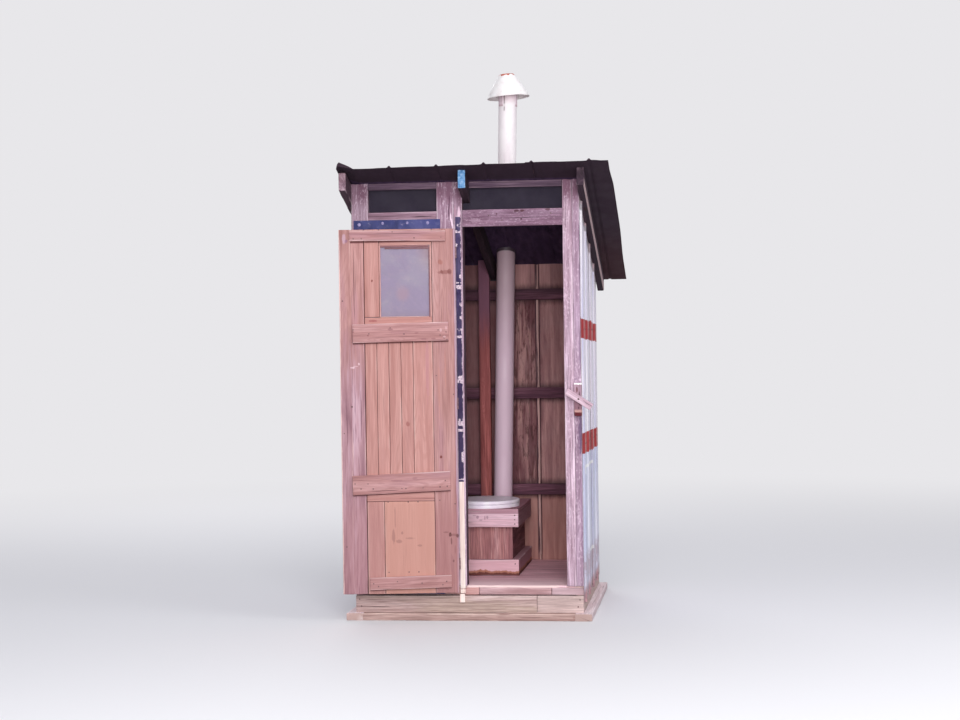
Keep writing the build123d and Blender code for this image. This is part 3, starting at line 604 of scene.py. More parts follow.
def bench_foot_and_shade(g, colour, grain, place):
    """Bench boards: the base band's ragged lower edge is orange brown with painted shade below it, painted
    shade darkens the sides and top, and the top band's upper edge and the lower part are darker.
    """
    _, back, up = place.split()
    colour = colour.mix(up.span(0.35, 0.30, 0, 0.7), (212, 164, 172))
    colour = colour.mix(up.span(BENCH_HEAD - 0.0155, BENCH_HEAD - 0.0135, 0, 0.75), (172, 122, 136))
    # painted shade behind the front face, on the sides and the top
    colour = colour.mix(back.span(BENCH_FACE + 0.0015, BENCH_FACE + 0.004, 0, 0.72), (150, 96, 110))
    ragged = place.noise((22, 22, 8), 3, 0.55, 0.4)
    edge = up + ragged * -0.05
    # orange brown along the ragged lower edge, then painted shade at the very foot
    colour = colour.mix(edge.span(0.183, 0.177), (172, 116, 98))
    return colour.mix(edge.span(0.172, 0.165), (104, 60, 56))


KNOT_BROWN, SMUDGE = (120, 62, 58), (112, 74, 76)
DOOR_MARKS = (
    (442, 1805, 5, 7, KNOT_BROWN, 0.85), (263, 1046, 11, 14, (150, 92, 88), 0.7),
    (90, 869, 6, 8, KNOT_BROWN, 0.9), (81, 1900, 13, 16, (158, 96, 84), 0.6),
    (440, 1593, 22, 6, (150, 84, 84), 0.7), (60, 1846, 34, 11, (132, 78, 74), 0.55),
    (32, 1848, 12, 14, (118, 66, 64), 0.6), (74, 1847, 8, 9, (118, 66, 64), 0.5),
    (557, 1140, 5, 5, (70, 38, 46), 0.95), (552, 1347, 11, 5, (236, 208, 216), 0.6),
    (518, 1366, 5, 8, (236, 208, 216), 0.6), (534, 1354, 16, 2.5, (228, 196, 204), 0.4),
    (589, 2030, 10, 27, (206, 176, 198), 0.5), (577, 2016, 8, 8, (132, 98, 132), 0.5),
    (157, 1357, 9, 190, (178, 126, 134), 0.5), (338, 556, 4, 60, SMUDGE, 0.28),
    (347, 450, 9, 40, SMUDGE, 0.36), (209, 402, 14, 6, SMUDGE, 0.32), (320, 425, 17, 9, SMUDGE, 0.34),
    (262, 441, 22, 5, SMUDGE, 0.3), (302, 470, 7, 8, SMUDGE, 0.36), (47, 458, 8, 12, (88, 50, 50), 0.85),
    (10, 451, 8, 10, (96, 56, 56), 0.8), (30, 456, 22, 8, (128, 84, 84), 0.5),
    (42, 424, 5, 18, (98, 60, 60), 0.6), (32, 317, 5, 7, (96, 58, 60), 0.65),
    (22, 380, 4, 20, (132, 88, 92), 0.4), (70, 470, 16, 5, (120, 76, 76), 0.45),
    (40, 300, 10, 60, (150, 104, 108), 0.35), (96, 1220, 4, 150, (196, 138, 128), 0.5),
    (62, 1330, 5, 120, (196, 138, 128), 0.4),
)
RAIL_MARKS = (
    (349, 1547, 14, 6, (132, 88, 94), 0.55), (468, 1516, 6, 5, (120, 70, 72), 0.6),
    (546, 1535, 8, 4, (120, 72, 76), 0.55), (171, 1494, 18, 4, (132, 84, 88), 0.5),
    (121, 1496, 12, 4, (132, 84, 88), 0.5), (211, 1526, 10, 4, (136, 88, 92), 0.45),
    (83, 1540, 5, 9, (232, 200, 206), 0.35), (64, 1505, 7, 5, (232, 200, 206), 0.35),
    (55, 1550, 4, 9, (228, 196, 204), 0.3), (300, 1530, 60, 9, (158, 112, 118), 0.35),
    (322, 748, 34, 5, (140, 96, 102), 0.45), (232, 760, 14, 6, (140, 96, 102), 0.4),
    (410, 735, 22, 6, (150, 106, 112), 0.35), (440, 2044, 30, 6, (158, 108, 110), 0.35),
)
STRIP_FOOT, SEAM = 0.638, 0.4835
# Lower edges of the ledges, with painted shadow lines under them: height at the pin, slope, from, to
RAIL_FEET = (
    (2.0165, -0.0105, 0.052, 0.559), (1.4852, -0.0158, 0.041, 0.550), (0.6946, -0.0385, 0.040, 0.561),
    (0.1804, -0.0208, 0.041, 0.475),
)


def door_wear(g, colour, grain, place):
    """Door: the free stile is greyed and cracked below the middle rail, the foot is duller; painted shadow
    lines run under the rails and a painted shade line beside the hinge edge.
    """
    along, _, up = place.split()
    loose = grain.noise((2.2, 26, 26), 4, 0.6, 0.3)
    level = up + loose * -0.35
    amount = along.span(0.484, 0.489) * level.span(1.44, 0.98)
    grey = loose.shades(0.35, 0.64, (136, 100, 114), (172, 134, 145), (198, 166, 180))
    colour = colour.mix(amount * 0.8, grey)
    gaps = grain.noise((3.5, 130, 130), 3, 0.6, 0.2)
    colour = colour.mix(amount * gaps.span(0.40, 0.34, 0, 0.7), (110, 74, 86))
    out = place.y
    for height, slope, near, far in RAIL_FEET:
        # painted shadow line under each rail, on the inner face only
        line = up - (along * slope + height)
        under = line.span(-0.010, -0.003) * line.span(0.004, 0.001)
        under = under * (along.span(near, near + 0.004) * along.span(far, far - 0.004))
        under = under * (out.span(0.018, 0.022) * out.span(0.027, 0.026))
        colour = colour.mix(under * 0.85, (92, 46, 50))
    rub = (place.noise((30, 30, 9), 3, 0.6) - 0.5) * 0.012
    hung = along + rub
    # painted shade line in the gap beside the hinge edge
    colour = colour.mix(hung.span(0.0175, 0.013) * 0.5, (146, 96, 108))
    colour = colour.mix(hung.span(0.0128, 0.0098) * 0.65, (190, 164, 184))
    colour = colour.mix(hung.span(0.6105, 0.6135) * 0.8, (240, 206, 200))
    foot = up.span(0.74, 0.50) * along.span(0.129, 0.127, 0.3, 0.55)
    colour = colour.mix(foot, (168, 118, 120))
    panel = along.span(0.127, 0.129) * along.span(0.394, 0.391)
    panel = panel * up.span(STRIP_FOOT, STRIP_FOOT - 0.004)
    return colour.mix(panel * 0.6, (196, 146, 131))


def stud_head(g, colour, grain, place):
    """Rear stud: red below, painted shade makes it darker and more purple towards the roof."""
    up = place.z + grain.noise((3, 30, 30), 3, 0.6) * 0.2
    colour = colour.mix(up.span(0.95, 1.45, 0, 0.35), (138, 78, 82))
    return colour.mix(up.span(1.52, 1.78, 0, 0.9), (124, 84, 104))


def plinth_end(g, colour, grain, place):
    """Base planks at the sides: bleached, with brown ends."""
    back = place.y
    front_end = back.span(PLINTH_FACE + 0.003, PLINTH_FACE + 0.001)
    ends = front_end.most(back.span(PLINTH_REAR - 0.003, PLINTH_REAR - 0.001))
    return colour.mix(ends * 0.9, (176, 146, 138))


def bearer_parts(g, colour, grain, place):
    """Floor bearer: a brown end next to the jamb, a greyed length at the right."""
    side = place.x
    colour = colour.mix(side.span(0.0495, 0.0485, 0, 0.65), (190, 132, 122))
    return colour.mix(side.span(0.4364, 0.4374, 0, 0.5), (216, 190, 200))


def blue_end(g, colour, grain, place):
    """Light blue paint on the front end of the middle rafter."""
    front = place.y
    flake = place.noise((60, 60, 60), 4, 0.7)
    paint = flake.shades(0.35, 0.66, (74, 124, 176), (112, 160, 208), (164, 194, 226))
    return colour.mix(front.span(-0.1462, -0.1472), paint)


# Woods: dark, mid and light, pale edges, grey stains, then how grey, knotty, ringed, fibrous and cracked
WOODS = {
    "post": wood("post_wood", (142, 112, 126), (194, 164, 182), (226, 202, 218), (238, 220, 230),
        (208, 184, 202), 0.3, 0.35, 0.35, 0.55, 0.85, flecked),
    "outer": wood("outer_post_wood", (126, 98, 116), (172, 143, 164), (204, 178, 198), (222, 200, 216),
        (186, 158, 182), 0.3, 0.3, 0.5, 0.4, 0.6, marked(((609, 1830, 4, 420, (112, 84, 112), 0.75),
        (604, 985, 11, 130, (92, 72, 100), 0.85), (590, 985, 3, 90, (120, 92, 120), 0.6),
        (606, 560, 8, 260, (130, 102, 130), 0.5), (603, 1268, 9, 7, (240, 218, 236), 0.5),
        (583, 1272, 9, 3, (110, 82, 110), 0.8), (606, 1420, 6, 110, (112, 88, 116), 0.6)), flecked)),
    "centre": wood("centre_board_wood", (136, 104, 124), (186, 154, 174), (218, 192, 210),
        (232, 212, 224), (198, 170, 190), 0.3, 0.35, 0.35, 0.6, 0.95,
        marked(((-84, 2165, 3, 40, (74, 44, 66), 0.85), (-79, 2225, 3, 36, (92, 60, 80), 0.7),
        (-74, 2140, 4, 22, (240, 214, 230), 0.8), (-68, 2112, 4, 22, (240, 214, 230), 0.8),
        (-63, 2085, 4, 20, (240, 214, 230), 0.7)), flecked)),
    "jamb": wood("door_jamb_wood", (142, 112, 130), (194, 164, 184), (226, 202, 218), (236, 218, 230),
        (204, 176, 198), 0.3, 0.3, 0.35, 0.5, 0.7, marked(((-19, 2115, 2.5, 56, (104, 64, 90), 0.8),
        (-29, 2158, 8, 34, (242, 208, 226), 0.75), (-50, 2170, 8, 30, (176, 132, 150), 0.5)),
        shaded_reveal)),
    # Top plates: their dark tones are painted shade under the eave.
    "plate": wood("shaded_top_plate_wood", (68, 50, 66), (102, 80, 98), (136, 112, 128), (156, 130, 142),
        (88, 68, 86), 0.3, 0.4, 0.3, 0.5, 0.7),
    "block": wood("latch_block_wood", (130, 96, 110), (190, 156, 172), (224, 198, 212), (240, 222, 232),
        (206, 176, 192), 0.2, 0.0, 0.4, 0.45, 0.6, marked(((589, 1217, 5, 16, (112, 72, 78), 0.9),
        (597, 1121, 4, 6, (70, 40, 50), 0.8)), block_ends)),
    "button": wood("turn_button_wood", (168, 134, 148), (222, 188, 204), (244, 216, 230), (250, 228, 238),
        (226, 196, 212), 0.2, 0.0, 0.4, 0.35, 0.5),
    "grey": wood("grey_wood", (112, 84, 98), (152, 120, 136), (184, 152, 168), (214, 188, 202),
        (136, 104, 122), 0.3, 0.4, 0.4, 0.4, 0.5),
    "header": wood("header_wood", (110, 78, 98), (146, 110, 132), (184, 152, 172), (206, 182, 196),
        (168, 136, 158), 0.3, 0.5, 0.4, 0.4, 0.6, marked(((279, 2166, 14, 6, (78, 46, 56), 0.9),
        (310, 2166, 12, 6, (84, 48, 56), 0.9), (445, 2170, 16, 6, (90, 56, 66), 0.85),
        (303, 2122, 5, 5, (70, 38, 44), 0.9), (172, 2152, 4, 5, (90, 54, 64), 0.8),
        (60, 2120, 26, 12, (196, 166, 184), 0.3)), header_patches)),
    "shade": wood("shaded_wood", (58, 40, 50), (92, 70, 82), (128, 102, 116), (150, 124, 136),
        (76, 56, 70), 0.3, 0.4, 0.3, 0.5, 0.7),
    "rafter": wood("rafter_wood", (104, 76, 88), (156, 126, 140), (196, 168, 182), (206, 180, 190),
        (120, 94, 108), 0.3, 0.4, 0.3, 0.5, 0.7, front_only),
    "edged": wood("shaded_rafter_wood", (42, 28, 40), (68, 50, 64), (100, 78, 92), (150, 124, 136),
        (66, 48, 62), 0.3, 0.4, 0.3, 0.5, 0.7, pale_edge),
    # Middle rafter: its dark tones are painted shade under the roof; its front end is painted blue.
    "blue": wood("rafter_wood_blue_end_in_shade", (36, 22, 34), (56, 38, 50), (80, 58, 70), (90, 68, 78),
        (46, 30, 44), 0.3, 0.4, 0.3, 0.5, 0.7, blue_end),
    "stud": wood("red_stud_wood", (132, 66, 66), (184, 104, 102), (208, 130, 124), None, (138, 84, 88),
        0.3, 0.5, 0.5, 0.5, 0.6, stud_head),
    "girt": wood("dark_girt_wood", (66, 36, 52), (102, 62, 80), (134, 90, 104), None, (86, 56, 68), 0.3,
        0.4, 0.3, 0.5, 0.6),
    "lath": wood("lath_wood", (232, 196, 188), (253, 234, 226), (255, 246, 240), (255, 248, 244),
        (240, 212, 204), 0.2, 0.1, 0.3, 0.2, 0.25, None, 0.5, 0.1),
    "base": wood("base_wood", (130, 98, 92), (172, 140, 134), (202, 172, 165), (236, 212, 202),
        (168, 138, 132), 0.3, 0.4, 0.3, 0.4, 0.6,
        marked(((577, 36, 3, 40, (120, 84, 80), 0.7), (562, 20, 8, 5, (130, 94, 88), 0.5)))),
    "plinth": wood("base_side_wood", (214, 190, 194), (246, 226, 230), (255, 242, 244), (255, 246, 248),
        (226, 200, 206), 0.3, 0.3, 0.3, 0.3, 0.4, plinth_end),
    "bearer": wood("bearer_wood", (190, 150, 154), (238, 200, 206), (250, 222, 227), (252, 230, 234),
        (184, 142, 144), 0.4, 0.3, 0.4, 0.45, 0.6, bearer_parts),
    "sill": wood("sill_wood", (168, 138, 134), (208, 178, 174), (228, 204, 202), (232, 212, 208),
        (188, 164, 152), 0.45, 0.4, 0.35, 0.5, 0.6, sill_parts),
    "tongue": wood("seam_shade_tongue_wood", (52, 28, 30), (78, 44, 44), (104, 64, 60), None, (60, 34, 38), 0.3,
        0.0, 0.3, 0.4, 0.5),
    "floor": wood("floor_wood", (200, 144, 156), (250, 192, 206), (255, 216, 226), (255, 228, 230),
        (232, 176, 190), 0.35, 0.2, 0.35, 0.5, 0.7, pale_front_deck),
    "bench": wood("bench_wood", (226, 178, 190), (254, 214, 230), (255, 230, 240), (255, 236, 242),
        (228, 182, 192), 0.25, 0.4, 0.5, 0.35, 0.35, marked(((-10, 503, 7, 9, (132, 84, 104), 0.5),
        (10, 486, 10, 3, (136, 90, 108), 0.5), (32, 498, 4, 13, (140, 90, 110), 0.5),
        (45, 500, 6, 9, (140, 90, 110), 0.45), (-24, 512, 12, 3, (150, 100, 116), 0.45)), bench_foot_and_shade)),
    "panel": wood("bench_panel_wood", (150, 96, 98), (200, 138, 138), (236, 188, 188), None,
        (168, 112, 120), 0.45, 0.4, 0.3, 0.5, 0.5),
    # Bench sides: their darker tones are painted shade.
    "side": wood("shaded_bench_side_wood", (92, 52, 58), (132, 82, 90), (168, 118, 126), None, (108, 66, 74),
        0.4, 0.3, 0.3, 0.6, 0.7),
}
DOOR = {
    "board": wood("door_board_wood", (170, 118, 111), (192, 142, 136), (205, 158, 151), (222, 186, 179),
        (180, 132, 127), 0.15, 0.0, 0.45, 0.18, 0.25, marked(DOOR_MARKS, door_wear), 0.5, 0.12),
    "stile": wood("door_stile_wood", (160, 112, 108), (189, 142, 139), (204, 160, 158), (220, 188, 186),
        (180, 134, 140), 0.25, 0.0, 0.45, 0.25, 0.35, marked(DOOR_MARKS, door_wear), 0.6, 0.12),
    "rail": wood("door_rail_wood", (154, 106, 104), (185, 138, 137), (206, 162, 162), (236, 208, 208),
        (174, 130, 136), 0.3, 0.4, 0.45, 0.3, 0.4, marked(RAIL_MARKS), 0.6, 0.12),
}

# The door's own frame: along from the hinge pin, out from the pin to its inner side, up
OPEN = radians(172.0)
PIN = np.array((-0.0465, -0.032, 0.0))
DOOR_X = np.array((cos(OPEN), -sin(OPEN), 0.0))
DOOR_Y = np.array((sin(OPEN), cos(OPEN), 0.0))


def door_point(along, out, up):
    """A point of the door's own frame, in the model's."""
    return PIN + along * DOOR_X + out * DOOR_Y + np.array((0, 0, up))


def door_place(points):
    """Points of the model in the door's own frame."""
    away = points - PIN
    return stacked(away @ DOOR_X, away @ DOOR_Y, points[:, 2])


def timber(node, material, slot, seed, blocks=None, **options):
    """Replaces a node by weathered boards."""
    rng = np.random.default_rng(seed)
    shell = Shell()
    for corners in blocks if blocks is not None else blocks_of(node):
        plank(shell, corners, rng, **options)
    if BODY_OF[node] == "door":
        shell.place = [door_place(points) for points in shell.points]
    return shell.piece(f"{node}_boards", [material], BODY_OF[node], (node,))


COARSE = {"cell": (0.045, 0.014), "cracks": 1, "chips": 1}
GREY, PALE = "weathered_grey", "weathered_pale"
# Node, wood, slot, cracks, roughness of the relief, chips
FRAME_BOARDS = (
    ("front_left_post", "post", GREY, 5, 1.4, 6), ("centre_board", "centre", GREY, 5, 1.4, 4),
    ("door_jamb", "jamb", GREY, 4, 1.4, 5), ("right_post_inner", "post", GREY, 6, 1.6, 8),
    ("right_post_outer", "outer", GREY, 5, 1.5, 8), ("rear_posts", "shade", GREY, 1, 1.0, 1),
    ("rear_stud", "stud", "red_stud", 2, 1.0, 2), ("door_header", "header", GREY, 3, 1.5, 4),
    ("transom_sill", "grey", GREY, 2, 1.3, 2), ("top_plates", "plate", GREY, 1, 1.2, 2),
    ("left_rafter", "rafter", GREY, 2, 1.2, 2), ("centre_rafter", "blue", GREY, 2, 1.2, 2),
    ("right_rafter", "edged", GREY, 3, 1.2, 2), ("left_girts", "girt", "dark_girt", 1, 1.0, 1),
    ("right_girts", "girt", "dark_girt", 1, 1.0, 1), ("rear_girts", "girt", "dark_girt", 2, 1.0, 2),
    ("base_planks_side", "plinth", PALE, 3, 1.5, 6), ("base_plank_front", "base", PALE, 3, 1.5, 6),
    ("base_plank_rear", "base", PALE, 1, 1.2, 1),
)
for seed, (node, kind, slot, cracks, rough, chips) in enumerate(FRAME_BOARDS, 11):
    cell = {} if chips > 1 else {"cell": COARSE["cell"]}
    worn = {"rubbed": 0.9} if node == "base_plank_front" else {}
    timber(node, WOODS[kind], slot, seed, cracks=cracks, rough=rough, chips=chips, **cell, **worn)
SILL_SEAM, BEARER_SEAMS = 0.3625, (0.0485, 0.4364)


def lengths(corners, seams, gap):
    """A long board cut at seams along X."""
    spots = np.reshape(corners, (-1, 3))
    low, high = spots.min(0), spots.max(0)
    ends = [low[0], *seams, high[0]]
    return [box_corners((start + (gap if n else 0), *low[1:]), (stop, *high[1:]))
            for n, (start, stop) in enumerate(zip(ends, ends[1:]))]


timber("sill_front", WOODS["sill"], "treated_wood", 30, lengths(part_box("sill_front"), (SILL_SEAM,), 0.0012),
       cracks=3, rough=1.2, chips=4, rubbed=0.8)
timber("sill_rear", WOODS["sill"], "treated_wood", 31, **COARSE)
timber("sills_side", WOODS["sill"], "treated_wood", 32, **COARSE)
bearers = []
for corners in blocks_of("floor_bearers"):
    at_front = corners[..., 1].min() < 0.1
    bearers += lengths(corners, BEARER_SEAMS, 0.002) if at_front else [corners]
timber("floor_bearers", WOODS["bearer"], "weathered_pale", 33, bearers, cracks=2, rough=1.4, chips=3)
lath_low, lath_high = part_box("jamb_lath")
laths = [block for block in blocks_of("jamb_lath") if block[..., 2].max() < 0.15]
laths += [box_corners((lath_low[0], -0.0015, 0.1635), (lath_high[0], 0, lath_high[2]), (2, 0, 1)),
          box_corners((lath_low[0], -0.0015, 0.1385), (lath_high[0], 0, 0.1605), (2, 0, 1))]
timber("jamb_lath", WOODS["lath"], "peach_lath", 34, laths, cell=(0.012, 0.005), radius=0.0006, rough=0.5,
       cracks=0, chips=3)
block_low, block_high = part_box("latch_block")
timber("latch_block", WOODS["block"], "weathered_grey", 35,
       [box_corners((block_low[0] - 0.005, *block_low[1:]),
                    (block_high[0] - 0.005, block_high[1], block_high[2] - 0.009), (2, 0, 1))],
       cell=(0.008, 0.004), rough=1.4, cracks=2)

timber("door_stiles", DOOR["stile"], "door_wood", 41, cracks=2, rough=0.9, chips=3)


def door_block(near, far, foot, head, rear=0.006, front=0.025, lying=False):
    """Corners of a board in the door's own frame, upright or lying."""
    corners = np.zeros((2, 2, 2, 3))
    for i, j, k in itertools.product((0, 1), repeat=3):
        along, up = ((near, far)[i], (foot, head)[j]) if lying else ((near, far)[j], (foot, head)[i])
        corners[i, j, k] = door_point(along, (rear, front)[k], up)
    return corners


boards = [
    door_block(0.128, 0.392, 0.148, STRIP_FOOT - 0.002),
    door_block(0.394, SEAM, 0.148, STRIP_FOOT - 0.002),
    door_block(0.128, SEAM, STRIP_FOOT, 0.714, lying=True),
    door_block(0.128, SEAM, 1.561, 1.611, lying=True), door_block(0.406, SEAM, 1.613, 2.076),
    door_block(0.128, 0.404, 1.990, 2.076, lying=True),
]
boards += [door_block(near, far, 0.716, 1.559) for near, far in
           ((0.128, 0.231), (0.233, 0.2945), (0.2965, 0.358), (0.360, 0.4215), (0.4235, SEAM))]
boards.append(door_block(0.5535, 0.5605, 0.1495, 2.0745, 0.009, 0.0238))
timber("door_boards", DOOR["board"], "door_wood", 42, boards, cell=(0.018, 0.007), cracks=0, rough=0.6,
       chips=1)

# Dark tongues that close the door's seams, their dark wood painted shade inside the seams
tongues = [door_block(at, at + 0.008, 0.1495, 2.0745, 0.009, 0.019) for at in (0.123, 0.482, 0.553)]
tongues += [door_block(at, at + 0.008, 0.718, 1.557, 0.009, 0.019)
            for at in (0.228, 0.2915, 0.355, 0.4185)]
tongues += [door_block(0.389, 0.397, 0.150, 0.636, 0.009, 0.019),
            door_block(0.401, 0.409, 1.613, 2.0745, 0.009, 0.0125)]
tongues += [door_block(0.130, 0.484, at, at + 0.008, 0.009, 0.019, True) for at in (0.6325, 0.711, 1.556)]
shell = Shell()
rng = np.random.default_rng(44)
for corners in tongues:
    plank(shell, corners, rng, cell=(0.06, 0.008), radius=0.001, rough=0.3, cracks=0, chips=0)
shell.place = [door_place(points) for points in shell.points]
shell.piece("door_tongues", [WOODS["tongue"]], "door", ())

# The rails' paler edges are wear and a painted highlight along their edges.
timber("door_rails", DOOR["rail"], "door_wood", 43, cell=(0.012, 0.005), cracks=2, rough=1.0, chips=4,
       rubbed=0.8)

# Bench
BAND = 0.038


def band_blocks(node):
    """The three boards of a band round the bench."""
    low, high = (np.array(corner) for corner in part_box(node))
    front = box_corners(low, (high[0], low[1] + BAND, high[2]), (0, 2, 1))
    left = box_corners((low[0], low[1] + BAND, low[2]), (low[0] + BAND, high[1], high[2]), (1, 2, 0))
    right = box_corners((high[0] - BAND, low[1] + BAND, low[2]), high, (1, 2, 0))
    return [front, left, right]


timber("bench_top_band", WOODS["bench"], "bench_wood", 51, band_blocks("bench_top_band"),
       cell=(0.010, 0.005), cracks=1)
timber("bench_base_band", WOODS["bench"], "bench_wood", 52, band_blocks("bench_base_band"),
       cell=(0.010, 0.005), cracks=2)
timber("bench_front_panel", WOODS["panel"], "bench_wood", 53, cell=(0.012, 0.008), cracks=2)
timber("bench_side_panels", WOODS["side"], "bench_wood", 54, **COARSE)



def waved(points):
    """Moves the points of a surface by up to 0.6 mm."""
    return points + field(points, (0.05, 0.05, 0.05), 3)[:, None] * (0, 0.0006, 0.0006)


def cell_cuts(node, cell):
    """Places on X and Y that cut a node's surface into cells."""
    low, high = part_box(node)
    return np.arange(low[0] + cell, high[0], cell), np.arange(low[1] + cell, high[1], cell), ()


shell = Shell()
from_work(shell, softened("bench_top", cell_cuts("bench_top", 0.02), 0.0015), tint=0.4, move=waved)
shell.piece("bench_top_board", [WOODS["bench"]], "frame", ("bench_top",))

# Floor deck, its front edge rotten
deck_low, deck_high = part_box("floor_deck")


def rot_edge(points):
    """Draws the deck's front edge back where it has rotted and lets it sag there."""
    near = np.clip(1 - (points[:, 1] - deck_low[1]) / 0.04, 0, 1)
    lane = points * (1, 0, 0)
    bite = np.clip(field(lane, (0.055, 1, 1), 5) + 0.6 * field(lane, (0.02, 1, 1), 6) + 0.25, 0, 1.4)
    right = smooth(0.0, 0.25, points[:, 0])
    moved = points.copy()
    moved[:, 1] += near * bite * (0.006 + 0.008 * right)
    moved[:, 2] += field(points, (0.06, 0.06, 0.06), 7) * 0.0007 - near * bite * 0.002
    return moved


shell = Shell()
across = np.arange(deck_low[0] + 0.02, deck_high[0], 0.02)
back = np.concatenate((deck_low[1] + np.array((0.006, 0.012, 0.02, 0.03, 0.042)),
                       np.arange(deck_low[1] + 0.08, deck_high[1], 0.045)))
from_work(shell, softened("floor_deck", (across, back, ()), 0.0018), move=rot_edge)
shell.piece("floor_deck_board", [WOODS["floor"]], "frame", ("floor_deck",))

# Turn button
DROOP = radians(33.0)
button_low, button_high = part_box("turn_button")
button_pivot = np.array((0.5975, 0, 1.168))
reach, stray = np.array((cos(DROOP), 0, -sin(DROOP))), np.array((sin(DROOP), 0, cos(DROOP)))
corners = np.zeros((2, 2, 2, 3))
for i, j, k in itertools.product((0, 1), repeat=3):
    spot = button_pivot + reach * (-0.077, 0.081)[i] + stray * (-0.0185, 0.0185)[j]
    corners[i, j, k] = (spot[0], (button_low[1], button_high[1])[k], spot[2])
timber("turn_button", WOODS["button"], "weathered_grey", 61, [corners], cell=(0.005, 0.003), rough=0.9,
       cracks=1, radius=0.003)


# Sheets
def rusty(dark, mid, light, spots=0.5, streak=(3, 40, 1), fine=60):
    """Rust in streaks along the sheet with darker spots."""

    def colour_of(g, grain, place, board):
        broad = grain.noise(streak, 5, 0.65, 0.4)
        patch = grain.noise((6, 9, 9), 5, 0.6)
        colour = broad.shades(0.34, 0.66, dark, mid, light)
        colour = colour.mix(patch.span(0.42, 0.62, 0.0, 0.55), mid)
        grit = grain.noise((fine * 0.5, fine, fine), 4, 0.7)
        colour = colour.mix(grit.span(0.64 - 0.14 * spots, 0.70 - 0.1 * spots, 0, 0.8 * spots), dark)
        colour = colour.mix(board[1] * 0.7, dark)
        return colour, grit * 0.5 + broad * 0.4

    return colour_of


BANDS = ((0.874, 0.986), (1.488, 1.594))
# White lines painted as glare along the right wall's ribs: from, to, height, half width
GLARE_LINES = ((0.18, 0.68, 0.794, 0.011), (0.17, 0.25, 0.776, 0.026), (0.36, 0.78, 0.316, 0.012))


def painted(g, grain, place, board):
    """White paint over the side walls with two red-brown bands, bare zinc below and rust at the foot, painted
    shade along the rib crests and painted glare lines.
    """
    up = place.z
    wobble = (place.noise((18, 18, 18), 4, 0.65) - 0.5) * 0.035
    level = up + wobble
    flow = grain.noise((1.3, 46, 1), 5, 0.62, 0.15)
    grit = grain.noise((40, 70, 1), 4, 0.7)
    white = flow.shades(0.34, 0.62, (194, 194, 222), (240, 233, 247), (255, 251, 255))
    zinc = flow.shades(0.34, 0.64, (176, 180, 212), (214, 217, 240), (242, 242, 254))
    band = flow.shades(0.3, 0.7, (128, 30, 34), (158, 46, 50), (180, 66, 66))
    rust = grit.shades(0.35, 0.65, (112, 70, 76), (164, 110, 112), (200, 152, 156))
    back = place.y
    tilted = level + back * 0.02
    colour = zinc.mix(tilted.span(BANDS[0][0], BANDS[0][0] + 0.004), white)
    dull = place.noise((30, 30, 22), 4, 0.65, 0.4)
    dull = dull.span(0.40, 0.55, 0.25, 0.75) * level.span(0.36, 0.29)
    dull = dull * level.span(0.16, 0.23, 0.35, 1.0)
    colour = colour.mix(dull, (178, 152, 162))
    head = level + back * SLOPE
    colour = colour.mix(head.span(2.176, 2.186, 0, 0.8), (126, 128, 132))
    # white glare lines, painted highlight
    for near, far, rise, half in GLARE_LINES:
        line = (up - rise).absolute()
        glare_line = line.span(half, half * 0.6) * back.span(near, near + 0.02)
        glare_line = glare_line * back.span(far, far - 0.02)
        glare_line = glare_line * place.x.span(0, 0.1, 0, 0.85)
        colour = colour.mix(glare_line, (254, 254, 255))
    # painted shade along the rib crests
    colour = colour.mix(board[2] * flow.span(0.3, 0.6, 0.25, 0.5), (120, 112, 130))
    for low, high in BANDS:
        inside = tilted.span(low - 0.002, low + 0.002) * tilted.span(high + 0.002, high - 0.002)
        colour = colour.mix(inside, band)
    colour = colour.mix((up + flow * -0.14).span(0.110, 0.050, 0, 0.8), rust)
    colour = colour.mix(grit.span(0.70, 0.76, 0, 0.7), rust)
    colour = colour.mix(board[1] * grit.span(0.4, 0.6, 0.2, 0.9), rust)
    return colour, grit * 0.3 + flow * 0.3


def rear_outside(g, grain, place, board):
    """Old zinc, dulled, with rust run down from the top and up from the foot."""
    up = place.z
    flow = grain.noise((1.6, 26, 1), 5, 0.65, 0.4)
    grit = grain.noise((36, 60, 1), 4, 0.7)
    zinc = flow.shades(0.3, 0.7, (132, 128, 140), (166, 164, 176), (196, 196, 208))
    rust = grit.shades(0.35, 0.65, (92, 52, 42), (138, 84, 64), (168, 112, 84))
    edge = up.span(1.6, 2.0, 0, 0.16) + up.span(0.34, 0.06, 0, 0.24)
    edge = edge + (grit - 0.5) * 0.3
    colour = zinc.mix((flow + edge).span(0.56, 0.74), rust)
    colour = colour.mix(board[1] * 0.7, rust)
    return colour, grit * 0.4 + flow * 0.3


REAR_SEAM = 0.2637


